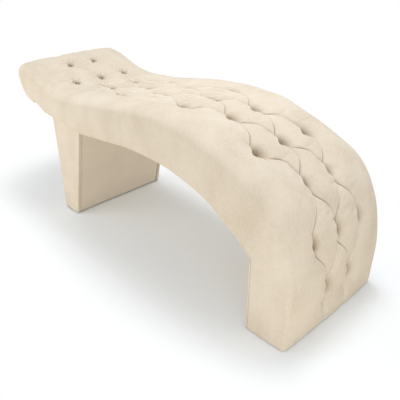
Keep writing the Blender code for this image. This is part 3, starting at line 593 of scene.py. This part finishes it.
def foldCreases(distance, y, relief, paintedShading, lift):
    # adds the creases: valleys, depth * exp(-distance / reach), and a pleat, height * tanh(distance / step) *
    # exp(-distance / reach), with painted shade along them and a painted highlight beside them. They are
    # weaker at the tufts and on some slanting runs at the head and the foot
    rowPlace = rowNumber(distance)[:, None]
    headHalf = 1 - smoothStep(rowPlace, 5.0, 6.3)
    valley = between(rowPlace, *crease["valleyRows"])
    strength = 1 + 0.5 * valley
    for start, end, before, after in crease["strength"]:
        strength = strength * (before + (after - before) * smoothStep(rowPlace, start, end))
    reach = tuftSizes[:, 2] * crease["tuftReach"]
    pleatHeight, pleatStep, pleatReach = crease["pleat"]
    ridgeHeight, ridgePlace, ridgeWide = crease["headRidge"]
    darkWide, darkMore = crease["dark"]
    lightBandPlace, lightBandWide = crease["paintedLightBand"]
    for column in range(-2, 2):
        place = (column + creaseShare(distance, column)) * halfColumn
        slope = np.gradient(place, distance)[:, None]
        away = (y - place[:, None]) / np.sqrt(1 + slope ** 2)
        besideFar, besideNear = [np.minimum(besideTufts(distance, middle, reach, 4), 1.0)[:, None]
                                 for middle in (column, column + 1)]
        valleys = sum(depth * np.exp(-np.abs(away) / width) for depth, width in crease["valleys"])
        pleat = pleatHeight * np.tanh(away / pleatStep) * np.exp(-np.abs(away) / pleatReach)
        hold = strength * (1 - 0.9 * headHalf * smoothStep(-slope, 0.05, 0.5)) * (1 - besideFar)
        hold = hold * (1 - 0.65 * smoothStep(rowPlace, 8.6, 9.1) * smoothStep(slope, 0.3, 1.0))
        relief -= hold * ((1 - 0.85 * besideNear) * valleys + (1 - 0.4 * besideNear) * pleat)
        relief += hold * ridgeHeight * headHalf * bell(away + ridgePlace, ridgeWide)
        shown = np.minimum(hold, 1.0)
        # painted shade along each crease and a painted highlight band beside it
        paintedLightBand = bell(away + lightBandPlace + lightBandPlace * valley, lightBandWide + lightBandWide * valley)
        paintedShading = np.maximum(paintedShading, 0.8 * shown * bell(away, darkWide + darkMore * valley))
        lift = np.maximum(lift, (0.5 + 0.5 * valley) * shown * paintedLightBand)
    return relief, paintedShading, lift


def gathersAt(distance, s, y, pulled):
    # small gathers in the dip of the seat: sin(2 pi (y / pitch - drift * s + swings)), uneven in height
    window = between(rowNumber(distance)[:, None], *gather["rows"]) * (1 - pulled)
    window = window * (1 - smoothStep(np.abs(y), *gather["edge"])) * (0.6 + 0.4 * np.sin(29.0 * s + 37.0 * y))
    swing = y / gather["pitch"] - gather["drift"] * s
    for along, across, height in gather["swings"]:
        swing = swing + height * np.sin(along * s + across * y)
    return window * np.sin(2 * np.pi * swing)


def tuftRelief(distance, lateral):
    # height over the untufted cushion: tufts, creases from tuft to tuft, pleats and gathers. The painted
    # shading is painted shade up to 1 deep in a fold, and below 0 a painted highlight on the ridge beside one
    s, y = np.broadcast_arrays(distance[:, None], lateral)
    relief, paintedShading, lift, pulled = pullTufts(distance, s, y)
    relief, paintedShading, lift = foldCreases(distance, y, relief, paintedShading, lift)
    gathers = gathersAt(distance, s, y, pulled)
    relief += gather["height"] * gathers
    # painted shade in the gathers' hollows, a painted highlight on their crests
    paintedShading = np.maximum(paintedShading, -gather["shade"] * gathers)
    lift = np.maximum(lift, gather["light"] * gathers)
    return relief, paintedShading - lift * (1 - smoothStep(paintedShading, 0.0, 0.3))


# The tufted body


body = {
    "stations": 720,
    "outerCells": 10,  # from the rim of the last tuft column to the edge roll
    "rimCells": 5,  # from that column to its rim
    "stripCells": 28,  # in each strip between two tuft columns
    "rollCells": 10,
    "sideCells": 12,
    "edgeCells": 3,
    "drawnIn": (1.5, 1.4),  # how closely net lines lie beside creases, and beside the outer columns
    "rollTop": 0.050,  # radius of the edge roll along the top
    "rollFoot": 0.014,  # and at the floor
    "rollChange": (0.70, 0.99),  # shares of the outer line between which it changes
    "lowerEdge": 0.004,
    "hem": 0.012,
    "crown": 0.006,
    "footDrop": 0.0008,  # the velvet reaches this much lower than the floor gap
    "sideSwell": 0.0025,
    "rollWaves": [(2.3, 3.0, 0.5, 0.0012), (5.1, -2.0, 2.0, 0.0008)],
    "seam": (0.0012, 0.0062, 0.0011),  # groove near the lower edge: depth, place, width
    "seamShow": (0.3, 1.93, 2.0),  # its strength up the bed, and where it grows to 1 at the foot
    "seamCells": (0.0030, 0.0016, 0.0007, 0.0, -0.0007, -0.0016, -0.0030),  # net lines beside it
}


def lateralLines(distance, flat):
    # y of every net line across the top, drawn in to the creases and to the near rim: to a crease
    # y = a + (b - a)(1 - (1 - t)^1.5), away from it y = b + (c - b) t^1.5, outwards y = b + (c - b) t^1.4
    edge = 2 * halfColumn
    strong, weak = body["drawnIn"]
    flat = flat[:, None]
    rim = edge + rimAway(distance, -2)[:, None]

    def shares(cells, closed=True):
        return np.linspace(0.0, 1.0, cells + closed, endpoint=closed)[None, :]

    outside = rim + (flat - rim) * shares(body["outerCells"]) ** weak
    near = np.concatenate([edge + (rim - edge) * shares(body["rimCells"], False), outside], axis=1)
    lines = [-near[:, :0:-1]]
    t = shares(body["stripCells"] // 2, False)
    for column in range(-2, 2):
        middle = creaseShare(distance, column)[:, None]
        lines.append((column + middle * (1 - (1 - t) ** strong)) * halfColumn)
        lines.append((column + middle + (1 - middle) * t ** strong) * halfColumn)
    lines.append(edge + (flat - edge) * shares(body["outerCells"] + body["rimCells"]) ** weak)
    return np.concatenate(lines, axis=1)


def rollRadius(distance):
    change = smoothStep(distance, *[share * outerLength for share in body["rollChange"]])
    return body["rollTop"] + (body["rollFoot"] - body["rollTop"]) * change


clothPlan = {
    "rows": 230,
    "columns": 54,
    "frames": 20,
    "quality": 5,
    "pressure": 4.0,
    "slack": 0.02,  # how much longer the velvet is cut than the form under it
    "cap": 0.006,  # the furthest that a point may rise or sink
    "pinnedFold": 0.25,  # where the painted fold shade is above this, the cloth is sewn down as a fold
    "pinLevels": 10,
}


def settledPoints(piece, pinned):
    # runs the cloth frame by frame and gives its points; the pins hold in ten steps
    steps = clothPlan["pinLevels"]
    pins = piece.vertex_groups.new(name="pins")
    levels = np.round(pinned.ravel() * steps).astype(int)
    for level in range(1, steps + 1):
        pins.add(np.nonzero(levels == level)[0].tolist(), level / steps, "REPLACE")
    cloth = piece.modifiers.new("Cloth", "CLOTH")
    cloth.point_cache.frame_end = clothPlan["frames"]
    settings = cloth.settings
    settings.quality = clothPlan["quality"]
    settings.use_pressure = True
    settings.uniform_pressure_force = clothPlan["pressure"]
    settings.shrink_min = -clothPlan["slack"]
    settings.vertex_group_mass = "pins"
    settings.effector_weights.gravity = 0.0
    for frameNumber in range(1, clothPlan["frames"] + 1):
        bpy.context.scene.frame_set(frameNumber)
    settled = piece.evaluated_get(bpy.context.evaluated_depsgraph_get()).data
    places = np.empty(pinned.size * 3, np.float32)
    settled.vertices.foreach_get("co", places)
    bpy.data.objects.remove(piece)
    bpy.context.scene.frame_set(1)
    return places.reshape(*pinned.shape, 3)


def carried(values, down, over):
    # values of an even net at places between its points, blended from the four points round each
    i = np.minimum(down.astype(int), values.shape[0] - 2)
    j = np.minimum(over.astype(int), values.shape[1] - 2)
    a, b = down - i, over - j
    return ((values[i, j] * (1 - b) + values[i, j + 1] * b) * (1 - a)
            + (values[i + 1, j] * (1 - b) + values[i + 1, j + 1] * b) * a)


def clothRise(distance, lateral):
    # how far the velvet rises between its tufts: a sheet, pinned along creases, tufts and rim, is pushed out
    # by pressure; its height over the form is carried to the finer net
    rows, columns = clothPlan["rows"], clothPlan["columns"]
    s = np.linspace(0.0, outerLength, rows)
    y = (halfWidth - rollRadius(s))[:, None] * np.linspace(-1.0, 1.0, columns)[None, :]
    relief, paintedShading = tuftRelief(s, y)
    downs = downsAt(s)
    points = planePoints(y, pointAt(outerLine, s)[:, None] - relief[..., None] * downs[:, None])
    piece = meshFrom("clothSheet", points, gridFaces(rows, columns)[:, ::-1])
    pinned = smoothStep(paintedShading, 0.0, clothPlan["pinnedFold"])
    pinned[:2] = pinned[-2:] = pinned[:, :1] = pinned[:, -1:] = 1.0
    moved = settledPoints(piece, pinned) - points
    rise = -(moved[..., 0] * downs[:, None, 0] + moved[..., 2] * downs[:, None, 1])
    print("cloth rose by", np.round(np.percentile(rise, [1, 50, 99]), 4), "m")
    rise = np.clip(rise, -clothPlan["cap"], clothPlan["cap"])
    down = np.interp(distance, s, np.arange(rows))[:, None] + 0 * lateral
    flat = (halfWidth - rollRadius(distance))[:, None]
    over = np.clip((lateral / flat + 1) / 2, 0.0, 1.0) * (columns - 1)
    return carried(rise, down, over)


def bodyStations():
    # distances along the outer line, closer together beside the tuft rows: s = t - a sin(2 pi rowNumber(t))
    t = np.linspace(0.0, outerLength, body["stations"])
    window = between(t, (0.0, 0.2), (outerLength - 0.12, outerLength))
    return t - window * 0.075 * rowPitch * np.sin(2 * np.pi * rowNumber(t))


def quarterTurn(cells):
    return np.linspace(0.0, np.pi / 2, cells + 1)[1:]


def bodyRings():
    # rings across the bed: over the tufted top, round the edge rolls, down the sides to a small rounded edge
    # and the hem
    s = bodyStations()
    tops = pointAt(outerLine, s)
    bottoms = bottomAt(s)
    downs = downsAt(s)
    ups = upsOf(bottoms, s)
    radius = rollRadius(s)[:, None]
    flatY = halfWidth - radius
    edge = body["lowerEdge"]

    topY = lateralLines(s, flatY[:, 0])
    relief, paintedShading = tuftRelief(s, topY)
    relief = relief + clothRise(s, topY) + body["crown"] * np.clip(1 - (topY / flatY) ** 2, 0, None)
    top3 = planePoints(topY, tops[:, None] - relief[..., None] * downs[:, None])

    ones = np.ones((len(s), 1))
    phi = quarterTurn(body["rollCells"])[None, :]
    start = (tops + radius * downs)[:, None]
    finish = (bottoms + edge * ups)[:, None]
    span = np.linalg.norm(finish - start, axis=-1)
    seamDepth, seamPlace, seamWide = body["seam"]
    faint, showFrom, showTo = body["seamShow"]
    low = 1 - (seamPlace + np.array([body["seamCells"]])) / span
    upper = low[:, :1] * np.linspace(0.0, 1.0, body["sideCells"] + 1)[None, 1:-1]
    mix = np.concatenate([upper, low, ones], axis=1)
    shown = faint + (1 - faint) * smoothStep(s, showFrom, showTo)
    seam = bell(span * (1 - mix) - seamPlace, seamWide) * shown[:, None]
    psi = quarterTurn(body["edgeCells"])[None, :]
    drop = panelDrop(bottoms[:, :1])
    lowY = (halfWidth - edge * (1 - np.cos(psi))) * ones
    lowUp = edge * (1 - np.sin(psi)) - drop * np.sin(psi)
    hemY = (halfWidth - body["hem"]) * np.array([[1.0, 1.0, 0.66, 0.33]]) * ones
    hemUp = edge * np.array([[0.0, 1.0, 1.0, 1.0]]) - drop

    def halfRing(sign):
        lateral = sign * (flatY + radius * phi)
        swell, rollShading = tuftRelief(s, lateral)
        swell = swell + waves(s[:, None], lateral, body["rollWaves"])
        rollY = flatY + (radius + swell) * np.sin(phi)
        depth = radius * (1 - np.cos(phi)) - swell * np.cos(phi)
        sideWaves = [(3.1, 1.0, 0.3 + sign, 0.0008), (7.3, -2.0, 1.1, 0.0005)]
        soft = body["sideSwell"] + waves(s[:, None] + 0 * mix, mix * 0.3, sideWaves)
        sideY = halfWidth + (1 - mix) * swell[:, -1:] + soft * np.sin(np.pi * mix) - seamDepth * seam
        points = np.concatenate([
            planePoints(sign * rollY, tops[:, None] + depth[..., None] * downs[:, None]),
            planePoints(sign * sideY, start + (finish - start) * mix[..., None]),
            planePoints(sign * lowY, bottoms[:, None] + lowUp[..., None] * ups[:, None]),
            planePoints(sign * hemY, bottoms[:, None] + hemUp[..., None] * ups[:, None]),
        ], axis=1)
        plain = np.zeros((len(s), lowY.shape[1] + hemY.shape[1]))
        # painted shade in the seam groove near the lower edge
        return points, np.concatenate([rollShading, 0.7 * seam, plain], axis=1)

    right, rightShading = halfRing(1)
    left, leftShading = halfRing(-1)
    rings = np.concatenate([left[:, ::-1], top3, right], axis=1)
    # painted shading round each ring
    folds = np.concatenate([leftShading[:, ::-1], paintedShading, rightShading], axis=1)
    return rings, folds, tops, downs


def ringDirections():
    # outward direction of each place round a ring, as parts across the bed and along its depth
    tops = 2 * (body["outerCells"] + body["rimCells"]) + 4 * body["stripCells"] + 1
    sides = body["sideCells"] + len(body["seamCells"])
    phi = quarterTurn(body["rollCells"])
    rest = np.zeros(body["edgeCells"] + 4)
    across = np.concatenate([np.sin(phi), np.ones(sides), rest])
    depth = np.concatenate([-np.cos(phi), np.zeros(sides), rest])
    return (np.concatenate([-across[::-1], np.zeros(tops), across]),
            np.concatenate([depth[::-1], -np.ones(tops), depth]))


def endRings(ring, depthWay, lift, steps):
    # rings that carry the velvet round an end; each step is an inset from the outline and a height over it
    outY, outDepth = ringDirections()
    rings = []
    for inset, height in steps:
        moved = ring.copy()
        moved[:, 1] -= inset * outY
        moved[:, [0, 2]] += height * lift - inset * outDepth[:, None] * depthWay
        rings.append(moved)
    return np.stack(rings)


def upholster():
    # the body's rings, laid flat at the head end and at the floor and lapped over both ends
    rings, folds, tops, downs = bodyRings()
    edge, hem = body["lowerEdge"], body["hem"]
    lap = [(edge * 0.29, edge * 0.29), (edge, 0.0), (hem, 0.0), (hem, edge)]
    headLift = leftOf(downs[0])
    headRing = rings[0].copy()
    off = (headRing[:, [0, 2]] - tops[0]) @ headLift
    headRing[:, [0, 2]] -= off[:, None] * headLift
    head = endRings(headRing, downs[0], headLift, lap)[::-1]
    footRing = rings[-1].copy()
    footRing[:, 2] = bed["floorGap"] - body["footDrop"]
    foot = endRings(footRing, np.array([-1.0, 0.0]), np.array([0.0, 1.0]), lap)
    rings = np.concatenate([head, rings[2:-2], foot])
    folds = np.concatenate([np.repeat(folds[:1], 4, 0), folds[2:-2], np.repeat(folds[-1:], 4, 0)])
    piece = meshFrom("bedVelvet", rings, tubeFaces(rings)[:, ::-1], paintedShading=folds)
    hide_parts("velvet_cover", "foam_pad", "side_foam_left", "side_foam_right")


upholster()
print("body upholstered")


# Cloth under the bed


underCloth = {
    "thickness": 0.0014,
    "inset": 0.0145,  # clear of the cover's hem
    "rows": 260,
    "columns": 60,
    "sag": 0.0004,
    "waves": [(9.0, 2.0, 0.0, 1.0), (4.0, -5.0, 1.0, 0.8)],
    "footClear": 0.006,  # it ends this much over the foot's lower edge
    "wider": 2.5,  # half its width grows by this many times its drop
}


def coverUnderside():
    # a thin closed sheet along the bottom line: from the head edge, under the arch and down the foot's inner
    # face; at the head edge it follows the round of the edge roll
    head = outerLine[0]
    run = unit(bottomLine[0] - head)
    path = np.concatenate([(head + underCloth["inset"] * run)[None], bottomLine])
    path[-1, 1] = bed["floorGap"] + underCloth["footClear"]
    s = np.linspace(0.0, lengthsOf(path)[-1], underCloth["rows"])
    line = pointAt(path, s)
    ups = upsOf(line, s)
    roll = body["rollTop"]
    inside = roll - underCloth["inset"]
    depth = np.minimum(underCloth["inset"] + s, roll)
    half = halfWidth - roll + np.sqrt(np.maximum(inside ** 2 - (roll - depth) ** 2, 0))
    drop = panelDrop(line[:, :1])
    t = np.linspace(-1.0, 1.0, underCloth["columns"])[None, :]
    y = (half[:, None] + underCloth["wider"] * drop) * t
    wave = waves(s[:, None], y, underCloth["waves"]) * underCloth["sag"]
    low = (wave - underCloth["sag"]) * (1 - t ** 4) * 0.5 - drop
    under3 = planePoints(y, line[:, None] + low[..., None] * ups[:, None])
    over3 = planePoints(y, line[:, None] + (low + underCloth["thickness"])[..., None] * ups[:, None])
    rings = np.concatenate([under3, over3[:, ::-1]], axis=1)
    piece = meshFrom("undersideVelvet", rings, tubeFaces(rings))
    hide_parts("underside_cover")


coverUnderside()
print("underside covered")


# Leg sleeve


leg = {
    "footShares": [(-0.3330, 0.0), (-0.2742, 0.0)],
    "seatGap": 0.0006,
    "half": 0.280,
    "thickness": 0.0018,
    "strip": 0.019,        # the sides' edges, which stand proud of the faces between them
    "proud": 0.0042,
    "step": (0.0022, 0.0007),  # half width of the step to the strip, and how sharp it is
    "corner": 0.0035,
    "groove": (0.0011, 0.0009),  # depth and width of the seam at the step
    "shade": (0.75, 0.0020),  # darkness and width of the painted shade at the step
    "sideBulge": 0.0008,
    "faceWaves": [(2.0, 3.0, 0.4, 0.0004), (3.0, -5.0, 1.0, 0.0003)],
    "paintedFootLight": 0.9,      # the foot face, in shade under the arch, is painted lighter
    "rows": 60,
    "faceCells": 60,
}


def legOutline():
    # corners in the side view: head and foot edge at the seat, then at the floor
    seats = pointAt(bottomLine, seatPlaces())
    up = leftOf(unit(seats[1] - seats[0]))
    topHead, topFoot = seats - leg["seatGap"] * up
    floorHead, floorFoot = sideView(leg["footShares"])
    return topHead, topFoot, floorHead, floorFoot


def legProfile():
    # from the middle of a face to the corner: places across, and how far they stand proud of the face
    half, strip, proud, r = leg["half"], leg["strip"], leg["proud"], leg["corner"]
    stepHalf, stepSharp = leg["step"]
    grooveDepth, grooveWide = leg["groove"]
    face = np.linspace(0.0, half - strip, leg["faceCells"] // 2, endpoint=False)
    rise = np.linspace(-stepHalf, stepHalf, 9)
    step = 0.5 * (1 + np.tanh(rise / stepSharp))
    turn = np.linspace(0.0, np.pi / 2, 7)
    across = np.concatenate([face, half - strip + rise, np.linspace(half - strip + 0.004, half - 2 * r, 4),
                             half - r + r * np.sin(turn)])
    out = np.concatenate([np.zeros_like(face), step * proud - grooveDepth * bell(rise, grooveWide),
                          np.full(4, proud), proud - r * (1 - np.cos(turn))])
    return across, out


def coverLeg():
    # a sleeve carried up the leg: face and edge strips on the head and the foot side, flat sides, turned in
    # at both ends
    topHead, topFoot, floorHead, floorFoot = legOutline()
    across, out = legProfile()
    mid = np.linspace(0.0, 1.0, 16)[1:-1]

    def wholeRing(foot, side, head, mirror=1):
        # from the middle of the foot face over the right side to that of the head face, then the mirror of it
        half = np.concatenate([foot, side, head])
        return np.concatenate([half, mirror * half[-2:0:-1]])

    ringY = wholeRing(across, np.full(len(mid), leg["half"]), across[::-1], -1)
    ringMix = wholeRing(np.ones_like(across), 1 - mid, np.zeros_like(across))
    ringOut = wholeRing(out, np.zeros(len(mid)), -out[::-1])
    bulge = wholeRing(0 * across, np.sin(np.pi * mid) * leg["sideBulge"], 0 * across)
    onFace = np.abs(ringMix - 0.5) > 0.49
    h = np.linspace(0.0, 1.0, leg["rows"])[:, None]

    def shell(inset, low, high):
        t = low + (high - low) * h
        headLine = (floorHead + (topHead - floorHead) * t)[:, None]
        footLine = (floorFoot + (topFoot - floorFoot) * t)[:, None]
        wave = waves(t * 0.5 + 0 * ringY, ringY[None, :], leg["faceWaves"]) * np.sign(ringMix - 0.5) * onFace
        plane = headLine + (footLine - headLine) * ringMix[:, None]
        plane[..., 0] += ringOut - inset * np.clip((ringMix - 0.5) * 2, -1, 1) + wave
        y = ringY - inset * np.sign(ringY) * (np.abs(ringY) > leg["half"] - 0.02) + bulge * np.sign(ringY)
        return planePoints(y, plane)

    rings = np.concatenate([shell(0.0, 0.0, 1.0), shell(leg["thickness"], 0.001, 0.999)[::-1]])
    rows, columns = rings.shape[:2]
    shade, shadeWide = leg["shade"]
    beside = np.abs(ringY) - (leg["half"] - leg["strip"])
    footFace = (ringMix > 0.99) & (beside < 0)
    # painted shade beside the step seam; the foot face, in shade under the arch, is painted lighter
    paintedShading = shade * bell(beside, shadeWide) * onFace - leg["paintedFootLight"] * footFace
    piece = meshFrom("legVelvet", rings, gridFaces(rows, columns, closeRows=True, closeColumns=True),
                     paintedShading=np.broadcast_to(paintedShading, (rows, columns)))
    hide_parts("leg_cover")


coverLeg()
print("leg covered")


# Buttons


button = {"radius": 0.0085, "height": 0.0085, "around": 33, "rings": 14,
          "gathers": 11, "gatherDepth": 0.05, "backFlatter": 0.8}


def makeButtons():
    # a domed disc turned about its axis; its cloth is gathered in small folds towards the back
    t = np.linspace(0.04, 0.97, button["rings"])[:, None] * np.pi
    a = np.linspace(0.0, 2 * np.pi, button["around"], endpoint=False)[None, :]
    folds = button["gatherDepth"] * smoothStep(t, 1.2, 2.2) * np.cos(button["gathers"] * a)
    radius = button["radius"] * np.sin(t) ** 0.8 * (1 + folds)
    height = button["height"] / 2 * np.cos(t) * np.where(t > np.pi / 2, button["backFlatter"], 1.0) + 0 * a
    disc = np.stack([radius * np.cos(a), radius * np.sin(a), height], axis=-1)
    quads = gridFaces(button["rings"], button["around"], closeColumns=True)
    around = np.arange(button["around"])
    caps = [around, around[::-1] + (button["rings"] - 1) * button["around"]]
    downs = unit(bottomAt(tuftRows) - pointAt(outerLine, tuftRows))
    side = np.array([0.0, 1.0, 0.0])
    for row, column in tufts:
        number = f"_{row + 1}_{(column + 3 + row % 2) // 2}"
        node = "button" + number
        low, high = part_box(node)
        centre = (np.array(low) + np.array(high)) / 2
        axis = planePoints(0.0, -downs[row])
        third = np.cross(axis, side)
        points = centre + disc[..., :1] * third + disc[..., 1:2] * side + disc[..., 2:] * axis
        # buttons take full painted shade, the darkest fold colour, as they sit deep in the tufts
        piece = meshFrom("tuftButton" + number, points, quads, caps, np.ones(points.shape[:2]))
        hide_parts(node)


makeButtons()
print("buttons made")


# Floor, lights and camera


studio = {
    "floor": (0.80, 0.75, 0.66),
    "floorSize": 30,  # half a side
    "floorShade": (0.93, 0.97, 1.0),  # the floor's colour to the camera, where it keeps the shadow
    "floorGlow": 0.07,
    "shadowReach": (0.60, 0.95),  # it turns into the white backdrop over these distances,
    "shadowLong": (0.62, 1.0, 1.0),  # with x counted less
    "worldLight": 0.58,
    "lamps": {  # power, size, place, aim
        "key": (30.5, 0.9, (0.20, 0.34, 2.8), (0.0, 0.0, 0.3)),
        "headFill": (38.0, 2.0, (-1.9, -2.3, 0.6), (-0.4, 0.0, 0.4)),
        "archFill": (29.0, 1.2, (2.5, -1.6, 0.12), (-0.4, 0.0, 0.2)),
        "footFill": (4.0, 1.6, (3.2, 0.3, 1.6), (0.6, 0.0, 0.3)),
    },
}


def makeFloor():
    # the camera sees a bright floor that keeps the shadow and fades into white; the bed sees a plain one
    r = studio["floorSize"]
    mesh = bpy.data.meshes.new("floor")
    mesh.from_pydata([(-r, -r, 0), (r, -r, 0), (r, r, 0), (-r, r, 0)], [], [(0, 1, 2, 3)])
    floor = addObject("floor", mesh)
    material, nodes, shader = nodeTree("paleFloor")
    feed(shader, {"Base Color": (*studio["floor"], 1.0), "Roughness": 0.9, "Specular IOR Level": 0.0})
    seen = addNode(nodes, "BsdfDiffuse", {"Color": (*studio["floorShade"], 1.0)})
    glow = addNode(nodes, "Emission", {"Strength": studio["floorGlow"]})
    both = addNode(nodes, "AddShader", {0: seen, 1: glow})
    place = addNode(nodes, "TexCoord", out="Object")
    shape = addNode(nodes, "Mapping", {"Vector": place, "Scale": studio["shadowLong"]})
    reach = addNode(nodes, "VectorMath", {0: shape}, "Value", operation="LENGTH")
    first, last = studio["shadowReach"]
    fade = addNode(nodes, "MapRange", {"Value": reach, "From Min": first, "From Max": last},
                   interpolation_type="SMOOTHSTEP")
    white = addNode(nodes, "Emission", {"Strength": 1.0})
    spread = addNode(nodes, "MixShader", {"Fac": fade, 1: both, 2: white})
    cameraRay = addNode(nodes, "LightPath", out="Is Camera Ray")
    pick = addNode(nodes, "MixShader", {"Fac": cameraRay, 1: shader.outputs["BSDF"], 2: spread})
    feed(nodes["Material Output"], {"Surface": pick})
    mesh.materials.append(material)


def makeWorld():
    # the camera and shiny things see white, everything else a softer light
    world = bpy.data.worlds.new("studio")
    bpy.context.scene.world = world
    world.use_nodes = True
    nodes = world.node_tree.nodes
    whole = (1.0, 1.0, 1.0, 1.0)
    background = nodes["Background"]
    feed(background, {"Color": whole, "Strength": studio["worldLight"]})
    backdrop = addNode(nodes, "Background", {"Color": whole, "Strength": 1.0})
    rays = addNode(nodes, "LightPath").node.outputs
    either = addMath(nodes, "MAXIMUM", rays["Is Camera Ray"], rays["Is Glossy Ray"])
    pick = addNode(nodes, "MixShader", {"Fac": either, 1: background.outputs["Background"], 2: backdrop})
    feed(nodes["World Output"], {"Surface": pick})


def makeLamps():
    for name, (power, size, place, aim) in studio["lamps"].items():
        lamp = bpy.data.lights.new(name, "AREA")
        lamp.energy = power
        lamp.size = size
        item = addObject(name, lamp)
        item.location = place
        item.rotation_euler = (Vector(aim) - Vector(place)).to_track_quat("-Z", "Y").to_euler()
        item.visible_camera = False


camera = {"place": (1.6455, -1.4393, 1.3664), "azimuth": 45.92, "elevation": 28.80, "roll": -0.30,
          "lens": 45.43, "sensor": 36.0, "clipEnd": 60.0}


def makeCamera():
    lens = bpy.data.cameras.new("camera")
    lens.lens = camera["lens"]
    lens.sensor_width = camera["sensor"]
    lens.clip_end = camera["clipEnd"]
    item = addObject("camera", lens)
    turn = (Matrix.Rotation(math.radians(camera["azimuth"]), 4, "Z")
            @ Matrix.Rotation(math.radians(90 - camera["elevation"]), 4, "X")
            @ Matrix.Rotation(math.radians(camera["roll"]), 4, "Z"))
    item.matrix_world = Matrix.Translation(camera["place"]) @ turn
    bpy.context.scene.camera = item


makeFloor()
makeWorld()
makeLamps()
makeCamera()
bpy.context.scene.view_settings.view_transform = "Standard"
print("studio ready")
